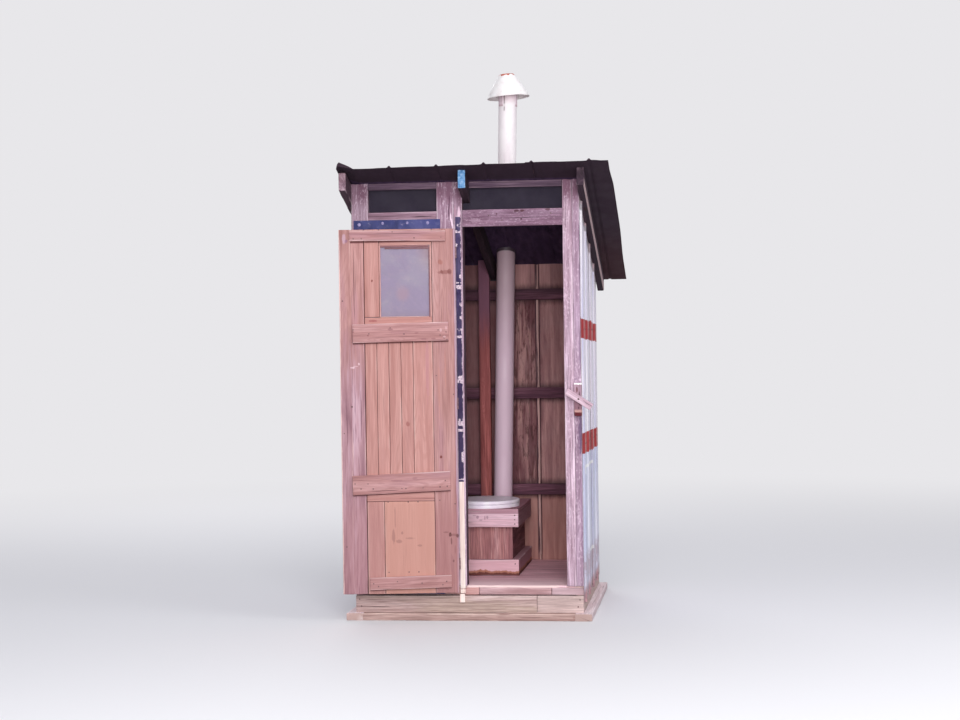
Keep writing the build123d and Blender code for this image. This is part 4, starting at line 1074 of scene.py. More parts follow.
def rear_inside(g, grain, place, board):
    """Brown rust inside, speckled black between the girts and smooth near the floor."""
    side, _, up = place.split()
    broad = grain.noise((1.8, 22, 1), 5, 0.65, 0.5)
    colour = broad.shades(0.32, 0.68, (146, 102, 104), (182, 132, 132), (206, 158, 154))
    grit = grain.noise((13, 66, 1), 5, 0.72, 0.2)
    drip = grain.noise((3.4, 70, 1), 4, 0.7, 0.2)
    zone = up.span(0.55, 0.66) * up.span(1.78, 1.70)
    colour = colour.mix(side.span(0.07, 0.03, 0, 0.8), (112, 70, 74))
    left = side.span(0.30, 0.24, 0.25, 1.0) * side.span(0.02, 0.10, 0.15, 1.0)
    tired = zone * left * broad.span(0.66, 0.42, 0.4, 1.0)
    colour = colour.mix(tired, (112, 68, 74))
    spots = grit.span(0.52, 0.62) * zone * left
    colour = colour.mix(spots * 0.7, (68, 36, 38))
    runs = drip.span(0.52, 0.64) * zone * left
    colour = colour.mix(runs * 0.75, (84, 46, 44))
    pits = drip.span(0.40, 0.33) * zone * left
    colour = colour.mix(pits * 0.5, (196, 152, 144))
    colour = colour.mix(up.span(0.62, 0.52, 0, 0.45), (158, 104, 88))
    for height in GIRTS_UP:
        off = (up + grit * 0.05 - (height + 0.025)).absolute()
        colour = colour.mix(off.span(0.075, 0.030, 0, 0.7), (56, 30, 38))
    seam = (side - REAR_SEAM).absolute()
    rusted = (up + grit * 0.1).span(0.2, 0.3, 0.2, 1.0)
    colour = colour.mix(seam.span(0.017, 0.010, 0, 0.9) * rusted, (60, 30, 42))
    colour = colour.mix(seam.span(0.0075, 0.005, 0, 0.9) * drip.span(0.62, 0.5), (214, 170, 166))
    return colour, grit * 0.5 + broad * 0.4


def roof_rust(g, grain, place, board):
    """Brown rust over the roof, with painted shade darkening its front edge and its right edge."""
    brown = rusty((78, 42, 36), (118, 70, 56), (150, 98, 78), 0.5, (1.5, 24, 1))
    colour, height = brown(g, grain, place, board)
    side, back, _ = place.split()
    # painted shade along the right and front edges
    colour = colour.mix(side.span(0.735, 0.765, 0, 0.6), (58, 36, 48))
    return colour.mix(back.span(-0.150, -0.180), (46, 28, 42)), height


def roof_shade(g, grain, place, board):
    """Under the roof: indigo brown indoors, redder rust over the open sides and darker there from painted
    shade.
    """
    indigo = rusty((42, 25, 50), (64, 42, 74), (82, 60, 88), 0.3, (9, 30, 1))
    colour, height = indigo(g, grain, place, board)
    side, back, _ = place.split()
    # painted shade darkens the underside over the open sides, redder towards the rear
    outside = side.span(0.60, 0.62).most(back.span(0.0, -0.03))
    outside = outside.most(side.span(-0.60, -0.62))
    dark = g.mix(back.span(0.5, 1.35), (38, 20, 32), (54, 20, 24))
    return colour.mix(outside * 0.9, dark), height


ROOF_UNDER = metal("roof_under_rust_and_shade", roof_shade, 0.5, (0.8, 0.95))
ROOF_TOP = metal("roof_top_rust", roof_rust, 0.6)
WALL_OUT = metal("wall_paint", painted, 0.45, (0.35, 0.6))
WALL_IN = metal("wall_inner_rust", rusty((92, 58, 52), (136, 94, 82), (164, 120, 102), 0.6), 0.5)
REAR_OUT = metal("rear_zinc", rear_outside, 0.5, (0.4, 0.7))
REAR_IN = metal("rear_inner_rust", rear_inside, 0.7, (0.6, 0.9))
RIB = (
    (-0.0145, 0.0), (-0.0105, 0.0012), (-0.0045, 0.0086), (-0.0025, 0.0099), (0.0025, 0.0099),
    (0.0045, 0.0086), (0.0105, 0.0012), (0.0145, 0.0),
)
SKIN = 0.0009
SHEET_GAP = 0.0004
RIB_PITCH = 0.30475


def section(start, stop, ribs, lift=0.0, lead=(), extra=()):
    """(place, height, on a rib) along a crimped sheet's section."""
    rows = {}
    count = round((stop - start) / 0.02)
    for place in list(np.linspace(start, stop, count + 1)) + list(extra):
        if all(abs(place - rib) > 0.018 for rib in ribs):
            rows[round(float(place), 6)] = (lift if ribs and place < ribs[0] else 0.0, 0.0)
    for number, rib in enumerate(ribs):
        for off, height in RIB:
            low = lift if number == 0 and off < 0 else 0.0
            rows[round(rib + off, 6)] = (max(height, low), smooth(0.002, 0.008, height))
    profile = [(place, height, crest) for place, (height, crest) in sorted(rows.items())]
    return np.array([(place, height, 0.0) for place, height in lead] + profile)


def sheet_faces(index, keep):
    """Faces and slots of a sheet's two sides and rims on a grid of point numbers, where keep is true."""
    faces, slots, used = [], [], {}
    for i, j in zip(*np.nonzero(keep)):
        a, b, c, d = index[[i, i, i + 1, i + 1], [j, j + 1, j + 1, j]].tolist()
        faces += [[a, b, c, d], [n + index.size for n in (d, c, b, a)]]
        slots += [0, 1]
        used.update(dict.fromkeys(((a, b), (b, c), (c, d), (d, a))))
    for one, two in used:
        if (two, one) not in used:
            faces.append([two, one, one + index.size, two + index.size])
            slots.append(0)
    return faces, slots


def crimped(shell, profile, rises, point_of, seed, wave=0.0012, edge_wave=0.0, tint=0.5, hole=None,
            hollow=1.0, snug=None):
    """Adds a thin sheet whose points point_of(place, rise, height) gives. hole(place, rise) is true where
    there is none and snug(place, rise) moves the points on the hole's edge."""
    place, height, crest = profile.T
    grid_u, grid_v = np.meshgrid(place, rises)
    spots = stacked(grid_u, grid_v, 0)
    last = rises.max()
    to_end = np.minimum(grid_v - rises.min(), last - grid_v)
    to_side = np.minimum(grid_u - place.min(), place.max() - grid_u)
    dents = field(spots, (0.16, 0.22, 1), seed) * wave
    dents = dents + field(spots, (0.05, 0.07, 1), seed + 1) * wave * 0.35
    flutter = field(spots, (0.07, 3, 1), seed + 2) * edge_wave * np.exp(-to_end / 0.06)
    outward = np.abs(dents) * 0.6 + dents * 0.4 + flutter
    lift = height[None, :] + np.maximum(outward, 0)
    rows, columns = grid_u.shape
    index = np.arange(grid_u.size).reshape(rows, columns)
    keep = np.ones((rows - 1, columns - 1), bool)
    if hole is not None:
        middle_u = (grid_u[:-1, :-1] + grid_u[1:, 1:]) / 2
        middle_v = (grid_v[:-1, :-1] + grid_v[1:, 1:]) / 2
        keep = ~hole(middle_u, middle_v)
    if snug is not None:
        wall = np.zeros((rows, columns), int)
        for corner in itertools.product((slice(0, -1), slice(1, None)), repeat=2):
            wall[corner] |= np.where(keep, 1, 2)
        grid_u, grid_v = np.where(wall == 3, snug(grid_u, grid_v), (grid_u, grid_v))
    surfaces = [point_of(grid_u, grid_v, lift + SHEET_GAP + SKIN),
                point_of(grid_u, grid_v, lift * hollow + SHEET_GAP)]
    faces, slots = sheet_faces(index, keep)
    worn = np.exp(-to_end / 0.02) * 0.7 + np.exp(-to_side / 0.012) * 0.5
    board = stacked(tint, np.clip(worn, 0, 1), crest)
    grain = stacked(grid_v, grid_u, seed * 0.37)
    shell.add(np.stack(surfaces), faces, np.stack([grain] * 2), np.stack([board] * 2), None, slots)


EAVE, ROOF_FRONT, ROOF_REAR = 2.327, -0.223, 1.500
ROOF_LENGTH = (ROOF_REAR - ROOF_FRONT) / cos(PITCH)
ROOF_LAP, ROOF_RIGHT = 0.3805, 0.7795
LAP = 0.032


def roof_point(place, rise, height):
    """Points on the roof's plane, rise down its slope from the front edge, which is cut askew."""
    rise = rise + 0.036 * np.clip((0.62 - place) / 1.24, 0, 1) * np.clip(1 - rise / 0.5, 0, 1)
    bulge = 0.009 * smooth(0.70, ROOF_RIGHT, place) * smooth(0.10, 0.35, rise) * smooth(1.5, 0.9, rise)
    place = place + bulge
    back = ROOF_FRONT + rise * cos(PITCH) + height * sin(PITCH)
    return stacked(place, back, EAVE - SLOPE * ROOF_FRONT - rise * sin(PITCH) + height * cos(PITCH))


PIPE_LEAN = radians(1.42)
PIPE_FOOT = np.array((0.0615, 1.0, 0.177))
PIPE_AXIS = np.array((sin(PIPE_LEAN), 0, cos(PIPE_LEAN)))
pipe_at_roof = (PIPE_FOOT + PIPE_AXIS * 1.83)[0]
pipe_rise = (PIPE_FOOT[1] - ROOF_FRONT) / cos(PITCH)
HOLE_RADIUS = 0.0536


def pipe_hole(place, rise):
    """True within the round hole that the pipe goes through."""
    return np.hypot(place - pipe_at_roof, (rise - pipe_rise) * cos(PITCH)) < HOLE_RADIUS


def pipe_edge(place, rise):
    """Points moved onto the hole's round edge."""
    across, along = place - pipe_at_roof, (rise - pipe_rise) * cos(PITCH)
    share = HOLE_RADIUS / np.maximum(np.hypot(across, along), 1e-6)
    return np.stack([pipe_at_roof + across * share, pipe_rise + along * share / cos(PITCH)])


shell = Shell()
near_pipe = np.linspace(-0.07, 0.07, 45)
rises = np.unique(np.concatenate((np.linspace(0, ROOF_LENGTH, 72), pipe_rise + near_pipe)))
margin = [(-0.6520, 0.006), (-0.6510, 0.018), (-0.6480, 0.030), (-0.6440, 0.038), (-0.6390, 0.0415),
          (-0.622, 0.0335), (-0.604, 0.0255), (-0.586, 0.0155), (-0.572, 0.007)]
crimped(shell, section(-0.5615, ROOF_LAP, [ROOF_LAP - 0.25 * n for n in (3, 2, 1)], 0.0, margin,
                       extra=pipe_at_roof + near_pipe),
        rises, roof_point, 71, 0.0016, 0.004, 0.4, pipe_hole, 0.45, pipe_edge)
crimped(shell, section(ROOF_LAP - LAP, ROOF_RIGHT, [ROOF_LAP, ROOF_LAP + 0.299], 0.0026), rises,
        roof_point, 72, 0.0018, 0.0045, 0.6, hollow=0.45)
shell.piece("roof_sheets_crimped", [ROOF_TOP, ROOF_UNDER], "frame", ("roof_sheets",), 60)

FOOT = 0.088
RAFTER_DROP = 0.089 / cos(PITCH)


def side_wall(node, face, outward, seed):
    """A side wall of two lapped sheets, its top cut below the rafters."""

    def point_of(place, rise, height):
        top = EAVE - SLOPE * place - RAFTER_DROP - 0.001
        up = FOOT + rise * (top - FOOT)
        return stacked(face + outward * height, place, up)

    ribs = [0.06 + RIB_PITCH * n for n in range(4)]
    shell = Shell()
    rises = np.linspace(0, 1, 84)
    crimped(shell, section(0.0, ribs[2], ribs[:2]), rises, point_of, seed, 0.0014, 0.002, 0.4)
    crimped(shell, section(ribs[2] - LAP, 1.245, ribs[2:], 0.0024), rises, point_of, seed + 5, 0.0014,
            0.002, 0.6)
    for points, grain in zip(shell.points, shell.grain):
        grain[:, 0] = points[:, 2]
    if outward < 0:
        shell.faces = [face_[::-1] for face_ in shell.faces]
    shell.piece(f"{node}_crimped", [WALL_OUT, WALL_IN], "frame", (node,), 60)


side_wall("right_wall_sheets", HALF_WIDTH, 1, 81)
side_wall("left_wall_sheets", -HALF_WIDTH, -1, 91)

REAR_TOP = EAVE - SLOPE * (REAR + 0.012)
NOTCH = (-0.0128, 0.0258)


def rear_point(place, rise, height):
    """Points on the rear wall, whose top follows the roof."""
    head = EAVE - SLOPE * (REAR + height) - 0.0006 - REAR_TOP
    share = np.clip((FOOT + rise - REAR_TOP) / 0.03 + 1, 0, 1)
    return stacked(place, REAR + height, FOOT + rise + head * share)


def rear_notch(place, rise):
    """True where the middle rafter passes."""
    return (place > NOTCH[0]) & (place < NOTCH[1]) & (FOOT + rise > REAR_TOP - RAFTER_DROP)


shell = Shell()
rear_ribs = [0.5685 - RIB_PITCH * n for n in (3, 2, 1, 0)]
rises = np.unique(np.concatenate((np.linspace(0, REAR_TOP - FOOT, 84), [REAR_TOP - RAFTER_DROP - FOOT])))
crimped(shell, section(-HALF_WIDTH, rear_ribs[2], rear_ribs[:2], extra=NOTCH), rises, rear_point, 101,
        0.0014, 0.002, 0.5, rear_notch)
crimped(shell, section(rear_ribs[2] - LAP, HALF_WIDTH, rear_ribs[2:], 0.0024), rises, rear_point, 106,
        0.0014, 0.002, 0.6)
shell.faces = [face[::-1] for face in shell.faces]
shell.piece("rear_wall_sheets_crimped", [REAR_OUT, REAR_IN], "frame", ("rear_wall_sheets",),
            60)


# Thin coverings of the front wall
def plate(shell, low, high, cells, seed, wave, marks=None):
    """Adds an upright thin sheet facing the front, gently waved."""
    u, v = np.meshgrid(np.linspace(low[0], high[0], cells[0]), np.linspace(low[2], high[2], cells[1]))
    out = np.abs(field(stacked(u, 0, v), (0.12, 1, 0.16), seed)) * wave
    index = np.arange(u.size).reshape(u.shape)
    faces, _ = sheet_faces(index, np.ones((cells[1] - 1, cells[0] - 1), bool))
    board = stacked(0.5, np.zeros(u.shape) if marks is None else marks(u, v), 0)
    sides = stacked(u, low[1] - out, v), stacked(u, high[1], v)
    shell.add(np.stack(sides), faces, np.stack([stacked(v, u, 0)] * 2), np.stack([board] * 2))


def navy_cloth(g, grain, place, board):
    """Navy sheeting with a faint weave and dusty creases."""
    cloud = grain.noise((5, 9, 1), 4, 0.6, 0.5)
    colour = cloud.shades(0.3, 0.7, (38, 42, 92), (58, 62, 118), (82, 82, 136))
    dust = grain.noise((60, 40, 1), 4, 0.7)
    colour = colour.mix(dust.span(0.56, 0.72, 0, 0.5), (150, 140, 170))
    weave = g.make("ShaderNodeTexWave", {"Vector": grain, "Scale": 260.0, "Distortion": 0.6}, 1)
    return colour, weave * 0.25 + dust


def strip_paint(g, grain, place, board):
    """Indigo strip, torn down to a pale ground where board[1] says."""
    cloud = grain.noise((14, 50, 1), 4, 0.6, 0.5)
    colour = cloud.shades(0.3, 0.7, (42, 31, 66), (59, 46, 86), (84, 70, 112))
    colour = colour.mix(place.z.span(1.95, 1.15, 0, 0.6), (44, 26, 62))
    grit = grain.noise((120, 120, 1), 4, 0.7)
    torn = board[1] + (grit - 0.5) * 0.9
    pale = grit.shades(0.35, 0.65, (150, 126, 148), (206, 184, 198), (236, 220, 228))
    return colour.mix(torn.span(0.42, 0.56), pale), grit + board[1] * -0.5


def screen_weave(g, grain, place, board):
    """Dark insect screen: two crossing sets of fine wires."""
    one = g.make("ShaderNodeTexWave", {"Vector": grain, "Scale": 220.0}, 1, bands_direction="X")
    two = g.make("ShaderNodeTexWave", {"Vector": grain, "Scale": 220.0}, 1, bands_direction="Y")
    wires = one.most(two)
    dust = grain.noise((9, 14, 1), 4, 0.6)
    colour = g.mix(wires.span(0.5, 0.9), (17, 10, 25), (40, 30, 50))
    return colour.mix(dust.span(0.5, 0.75, 0, 0.4), (50, 40, 60)), wires


# Torn places of the strip: height, half height, side (0 whole width, 1 right, -1 left), strength
PATCHES = (
    (2.0945, 0.0095, 0, 0.62), (2.0640, 0.0050, 0, 0.6), (2.0585, 0.0035, 0, 1.0),
    (1.9900, 0.0080, -1, 0.6),
    (1.8240, 0.0080, 1, 0.8), (1.7905, 0.0025, 0, 1.0), (1.7670, 0.0105, 0, 1.0),
    (1.6735, 0.0100, 1, 0.8),
    (1.6060, 0.0060, 1, 0.6), (1.5400, 0.0060, 0, 0.8), (1.5240, 0.0090, 0, 0.45),
    (1.5030, 0.0060, 0, 1.0),
    (1.2755, 0.0190, 0, 0.85), (1.0605, 0.0070, -1, 0.8), (1.0410, 0.0110, 0, 1.0),
    (1.0240, 0.0080, 0, 0.5),
    (1.0060, 0.0060, 0, 1.0), (0.8620, 0.0270, 1, 0.9), (0.7450, 0.0030, 0, 0.8),
)


def torn_patches(u, v):
    """Where the strip's covering is torn off."""
    total = np.zeros(u.shape)
    for height, half, side, strength in PATCHES:
        reach = 1.0 if not side else smooth(-0.0345 - side * 0.001, -0.0345 + side * 0.004, u)
        torn = smooth(half + 0.0035, half - 0.001, np.abs(v - height)) * reach * strength
        total = np.maximum(total, torn)
    ragged = field(stacked(u, v, 0), (0.012, 0.016, 1), 8)
    edge = smooth(-0.0262, -0.0218, u) * 0.5
    return np.clip(total * 0.72 + edge + ragged * 0.26, 0, 1)


NAVY = metal("navy_sheeting", navy_cloth, 0.35, (0.45, 0.7))
shell = Shell()
low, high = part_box("bay_panel")
plate(shell, low, high, (40, 120), 111, 0.0016)
shell.piece("bay_panel_sheet", [NAVY], "frame", ("bay_panel",))
shell = Shell()
low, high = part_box("jamb_strip")
plate(shell, low, high, (12, 420), 112, 0.0004, marks=torn_patches)
shell.piece("jamb_strip_sheet", [metal("strip_paint", strip_paint, 0.5, (0.5, 0.8))], "frame",
            ("jamb_strip",))
shell = Shell()
low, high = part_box("transom_screens")
plate(shell, (-0.5205, low[1], 2.160), (-0.1495, high[1], 2.304), (40, 18), 113, 0.0)
plate(shell, (0.0255, low[1], 2.164), (0.5205, high[1], 2.304), (50, 18), 114, 0.0)
plate(shell, (-0.0120, low[1], 2.164), (0.0250, high[1], 2.214), (5, 6), 115, 0.0)
shell.piece("transom_screens_mesh", [metal("insect_screen", screen_weave, 0.5, (0.5, 0.7))], "frame",
            ("transom_screens",))


# Vent pipe, cap and straps
def turned(shell, rows, frame_of, segments, board_of):
    """Adds a closed turned surface from (radius, rise) rows round an axis. frame_of(radius, angle, rise)
    gives its points and board_of their wear."""
    angles = np.linspace(0, 2 * pi, segments, endpoint=False)
    radius, rise = np.array(rows).T
    r, a = np.meshgrid(radius, angles, indexing="ij")
    h = np.repeat(rise[:, None], segments, 1)
    points = frame_of(r, a, h)
    total = len(rows)
    index = np.arange(total * segments).reshape(total, segments)
    side = np.roll(index, -1, 1)
    faces = quads(index[:-1], side[:-1], side[1:], index[1:])
    faces += quads(index[-1], side[-1], side[0], index[0])
    shell.add(points, faces, stacked(h, a * 0.1, r), stacked(0.5, *board_of(r, a, h)))


PIPE_ACROSS = np.array((cos(PIPE_LEAN), 0, -sin(PIPE_LEAN)))
PIPE_LENGTH = (2.915 - PIPE_FOOT[2]) / cos(PIPE_LEAN)
CAP_BASE = PIPE_LENGTH - 0.025
CAP_RIM, CAP_TOP, CAP_HEIGHT, CAP_BULGE, CAP_SKIN = 0.1230, 0.042, 0.137, 0.005, 0.002
CAP_TILT, CAP_PIVOT = radians(5.6), 0.05


def pipe_frame(radius, angle, rise):
    """Points round the leaning pipe; rise is measured along it from its foot."""
    round_x = (radius * np.cos(angle))[..., None] * PIPE_ACROSS
    round_y = (radius * np.sin(angle))[..., None] * np.array((0, 1, 0))
    return PIPE_FOOT + rise[..., None] * PIPE_AXIS + round_x + round_y


def cap_frame(radius, angle, rise):
    """Points round the cap, which has slipped askew on the pipe."""
    middle = PIPE_FOOT + PIPE_AXIS * (CAP_BASE + CAP_PIVOT)
    away = pipe_frame(radius, angle, rise) - middle
    turned_x = away[..., 0] * cos(CAP_TILT) - away[..., 2] * sin(CAP_TILT)
    turned_z = away[..., 2] * cos(CAP_TILT) + away[..., 0] * sin(CAP_TILT)
    return middle + stacked(turned_x, away[..., 1], turned_z)


def plastic_pipe(g, grain, place, board):
    """Off-white pipe, yellowed and dusty, with grey runs; painted shade makes it pinker and darker indoors,
    up to a dark band under the roof, and a painted shadow lies under the cap.
    """
    up = place.z
    run = grain.noise((1.2, 60, 8), 4, 0.6, 0.2)
    cloud = place.noise((9, 9, 4), 4, 0.6)
    colour = cloud.shades(0.3, 0.7, (232, 222, 228), (246, 240, 243), (252, 249, 251))
    colour = colour.mix(run.span(0.58, 0.72, 0, 0.4), (168, 150, 160))
    speck = place.noise((90, 90, 60), 3, 0.6)
    colour = colour.mix(speck.span(0.68, 0.74, 0, 0.5), (140, 118, 124))
    # painted shade: pinker and darker indoors, darkest towards the ceiling
    colour = colour.mix(up.span(2.06, 1.99, 0.0, 0.85), (212, 176, 196))
    indoors = up.span(1.30, 1.98, 0, 0.6) * up.span(2.06, 2.0)
    colour = colour.mix(indoors, (168, 138, 142))
    # painted shadow under the cap's rim
    colour = colour.mix(up.span(2.845, 2.885, 0, 0.5), (232, 200, 212))
    head = up + place.y * SLOPE
    # dark band of painted shade where the pipe meets the roof
    ceiling_shade = head.span(2.306, 2.314, 0, 0.9) * head.span(2.337, 2.335)
    colour = colour.mix(ceiling_shade, (38, 24, 38))
    colour = colour.mix(board[1] * 0.9, (84, 50, 62))
    return colour, speck * 0.3 + run * 0.3


PIPE_RADIUS, PIPE_BORE = 0.0535, 0.0505
rows = [(PIPE_BORE, 0.003), (PIPE_RADIUS, 0.0015)]
heights = np.concatenate((np.linspace(0.02, PIPE_LENGTH - 0.16, 56),
                          np.linspace(PIPE_LENGTH - 0.15, PIPE_LENGTH - 0.002, 26)))
rows += [(PIPE_RADIUS, h) for h in heights]
rows += [(PIPE_RADIUS - 0.0008, PIPE_LENGTH - 0.0004), (PIPE_BORE + 0.0008, PIPE_LENGTH - 0.0004),
         (PIPE_BORE, PIPE_LENGTH - 0.002)]
rows += [(PIPE_BORE, h) for h in np.linspace(PIPE_LENGTH - 0.05, 0.02, 12)]
SLIT = radians(255)


def pipe_slit(radius, angle, rise):
    """A dark slit in the pipe's head, below the cap's rim."""
    turn = np.abs((angle - SLIT + pi) % (2 * pi) - pi)
    below = CAP_BASE - rise
    line = smooth(0.088, 0.0, turn) * smooth(0.084, 0.076, below)
    line *= 1 - 0.75 * smooth(0.036, 0.044, below) * smooth(0.060, 0.052, below)
    return line, 0


shell = Shell()
turned(shell, rows, pipe_frame, 72, pipe_slit)
shell.piece("vent_pipe_tube", [metal("pipe_plastic_white", plastic_pipe, 0.15, (0.4, 0.6))], "frame",
            ("vent_pipe",))


def cap_paint(g, grain, place, board):
    """White enamel with orange rust where board[1] says, darker where board[2] says."""
    cloud = place.noise((30, 30, 30), 4, 0.6)
    white = cloud.shades(0.3, 0.7, (240, 232, 232), (251, 247, 247), (254, 252, 252))
    grit = place.noise((60, 60, 26), 5, 0.7)
    rust = grit.shades(0.35, 0.68, (148, 58, 48), (204, 104, 84), (232, 160, 140))
    amount = board[1] + (grit - 0.5) * 0.8
    colour = white.mix(amount.span(0.36, 0.62), rust)
    return colour.mix(board[2] * 0.8, (120, 96, 92)), grit + amount


def cap_radius(rise, skin=0.0):
    """Radius of the cap's bulged cone at a height over its rim."""
    share = rise / CAP_HEIGHT
    return CAP_RIM + (CAP_TOP - CAP_RIM) * share + 4 * CAP_BULGE * share * (1 - share) - skin


def cap_board(radius, angle, rise):
    """Rust near the top and in a few patches, dark in patches along the rim."""
    up = (rise - CAP_BASE) / CAP_HEIGHT
    around = stacked(np.cos(angle) * 0.1, np.sin(angle) * 0.1, rise)
    rust = smooth(0.86, 1.0, up + field(around, (0.03, 0.03, 0.05), 9) * 0.07)
    spots = smooth(0.4, 0.9, field(around, (0.05, 0.05, 0.03), 10)) * 0.42 * smooth(0.3, 0.7, up)
    rust = np.maximum(rust, spots)
    rim = smooth(0.05, 0.0, up) * smooth(-0.2, 0.6, field(around, (0.03, 0.03, 0.05), 11)) * 0.5
    return rust, rim


rows = [(0.0004, CAP_BASE + CAP_HEIGHT), (0.030, CAP_BASE + CAP_HEIGHT),
        (CAP_TOP - 0.002, CAP_BASE + CAP_HEIGHT - 0.0004)]
rows += [(cap_radius(h), CAP_BASE + h) for h in np.linspace(CAP_HEIGHT - 0.003, 0.006, 22)]
rows += [(CAP_RIM + 0.0002, CAP_BASE + 0.003), (CAP_RIM - 0.0006, CAP_BASE),
         (CAP_RIM - 0.003, CAP_BASE + 0.001)]
rows += [(cap_radius(h, CAP_SKIN), CAP_BASE + h) for h in np.linspace(0.006, CAP_HEIGHT - 0.005, 10)]
rows += [(0.03, CAP_BASE + CAP_HEIGHT - CAP_SKIN), (0.0004, CAP_BASE + CAP_HEIGHT - CAP_SKIN)]
shell = Shell()
turned(shell, rows[::-1], cap_frame, 96, cap_board)
CAP_PAINT = metal("cap_enamel", cap_paint, 0.3, (0.35, 0.6))
shell.piece("vent_cap_cone", [CAP_PAINT], "frame", ("vent_cap",))


# Pieces that keep their shape
def plain_metal(name, dark, mid, light, scale=70, bumpy=0.4):
    """Rusty or dusty metal in object space, for nodes that have no attributes."""
    g = Graph(bpy.data.materials.new(name))
    where = g.make("ShaderNodeTexCoord", {}, "Object")
    cloud = where.noise(None, 5, 0.65, 0.2, float(scale))
    colour = cloud.shades(0.34, 0.66, dark, mid, light)
    return g.finish(colour, cloud.span(0.3, 0.7, 0.5, 0.85), g.bump(cloud, 0.0006, bumpy), Metallic=0.25)


def keep(node, material, bevel=0.0006):
    """A node as it is, with softened edges and a finished material."""
    made = NODES[node]
    made.data.materials.clear()
    made.data.materials.append(material)
    soften = made.modifiers.new("edges", "BEVEL")
    soften.width = bevel
    soften.segments = 2
    soften.limit_method = "ANGLE"
    soften.angle_limit = radians(35)


IRON = plain_metal("hinge_iron_rust", (92, 62, 66), (132, 100, 106), (164, 132, 140))
STEEL = plain_metal("nail_steel", (66, 46, 48), (104, 78, 78), (140, 116, 114), 160)
keep("hinge_leaves_frame", IRON)
keep("hinge_leaves_door", IRON)

# Bent straps from the pipe's head to the inside of the cap
STRAP_DROP, STRAP_SKIN, STRAP_HALF = 0.052, 0.0018, radians(19)
STRAP_ZINC = metal("strap_zinc", rusty((170, 140, 146), (240, 222, 232), (252, 240, 246), 0.2), 0.3)
strap_reach = cap_radius(0.040, CAP_SKIN) - 0.001
bends = [(PIPE_RADIUS + 0.0004, h) for h in (-STRAP_DROP, -0.035, -0.015, 0.005, 0.027)]
bends += [(PIPE_RADIUS + (strap_reach - PIPE_RADIUS) * part, 0.027 + 0.0125 * part)
          for part in (0.3, 0.65, 1.0)]
loop = [(radius, CAP_BASE + rise) for radius, rise in bends]
for radius, rise in bends[::-1]:
    upright = rise < 0.02
    loop.append((radius + STRAP_SKIN * upright, CAP_BASE + rise - STRAP_SKIN * (not upright)))
shell = Shell()
for turn in (228, 348, 108):
    radius, rise = np.array(loop).T
    r, a = np.meshgrid(radius, radians(turn) + np.linspace(-STRAP_HALF, STRAP_HALF, 7), indexing="ij")
    h = np.repeat(rise[:, None], 7, 1)
    share = smooth(0.0, 0.03, h - CAP_BASE)[..., None]
    points = pipe_frame(r, a, h) * (1 - share) + cap_frame(r, a, h) * share
    index = np.arange(len(loop) * 7).reshape(len(loop), 7)
    along = np.roll(index, -1, 0)
    faces = quads(index[:, :-1], along[:, :-1], along[:, 1:], index[:, 1:])
    half = len(bends)
    for side in (0, -1):
        for n in range(half - 1):
            quad = [int(index[k, side]) for k in (n, n + 1, 2 * half - 2 - n, 2 * half - 1 - n)]
            faces.append(quad if side else quad[::-1])
    # painted shadow: the last 6 mm at each strap's foot are dark
    dark = smooth(-STRAP_DROP + 0.006, -STRAP_DROP, h - CAP_BASE)
    shell.add(points, faces, stacked(h, a * 0.1, r), stacked(0.5, dark, 0))
shell.piece("cap_straps_bent", [STRAP_ZINC], "frame", ("cap_straps",), 50)


def pane_plastic(name):
    """Frosted plastic pane: lilac grey, mottled, browned at its free upper corner."""
    g = Graph(bpy.data.materials.new(name))
    where = g.make("ShaderNodeTexCoord", {}, "Object")
    cloud = where.noise(None, 4, 0.6, 0.6, 7.0)
    fine = where.noise(None, 3, 0.6, 0.2, 40.0)
    colour = cloud.shades(0.3, 0.7, (107, 92, 118), (118, 102, 130), (130, 114, 142))
    colour = colour.mix(fine.span(0.5, 0.7, 0, 0.22), (146, 124, 138))
    side, _, up = where.split()
    corner = side.span(-0.27, -0.18) * up.span(1.82, 1.96)
    colour = colour.mix(corner * 0.55, (134, 98, 96))
    colour = colour.mix(up.span(1.66, 1.62, 0, 0.3), (108, 86, 102))
    away = g.make("ShaderNodeVectorMath", {0: where, 1: (-0.322, 0, 1.734)}, operation="SUBTRACT")
    away = g.make("ShaderNodeVectorMath", {0: away * (1, 0, 0.9)}, "Value", operation="LENGTH")
    colour = colour.mix(away.span(0.050, 0.012, 0, 0.4), (152, 112, 120))
    return g.finish(colour, cloud.span(0.3, 0.7, 0.35, 0.5), g.bump(cloud, 0.003, 0.35))


keep("window_pane", pane_plastic("pane_frosted"), 0.0004)

# Window beads: thin strips, a second one under the head
shell = Shell()
rng = np.random.default_rng(45)
BEAD = 0.010
low_along, high_along, low_up, high_up = 0.128, 0.404, 1.611, 1.990
NEAR_BEAD, FAR_BEAD = 0.015, 0.007
BEAD_SIDE, BEAD_END = low_along + NEAR_BEAD, high_along - FAR_BEAD
beads = (
    (low_along, BEAD_SIDE - 0.006, low_up, high_up, False),
    (BEAD_END, high_along, low_up, high_up, False),
    (BEAD_SIDE, BEAD_END, low_up, low_up + 0.004, True),
    (BEAD_SIDE, BEAD_END, high_up - BEAD, high_up, True),
    (BEAD_SIDE, high_along - 0.03, high_up - BEAD - 0.0085, high_up - BEAD - 0.0015, True),
    (BEAD_SIDE - 0.006, BEAD_SIDE, low_up, high_up - BEAD, False),
)
for number, (near, far, foot, head, lying) in enumerate(beads):
    plank(shell, door_block(near, far, foot, head, 0.0167, 0.0247, lying), rng, cell=(0.012, 0.004),
          radius=0.0012, rough=0.4, cracks=0, chips=2, slot=int(number > 2))
shell.place = [door_place(points) for points in shell.points]
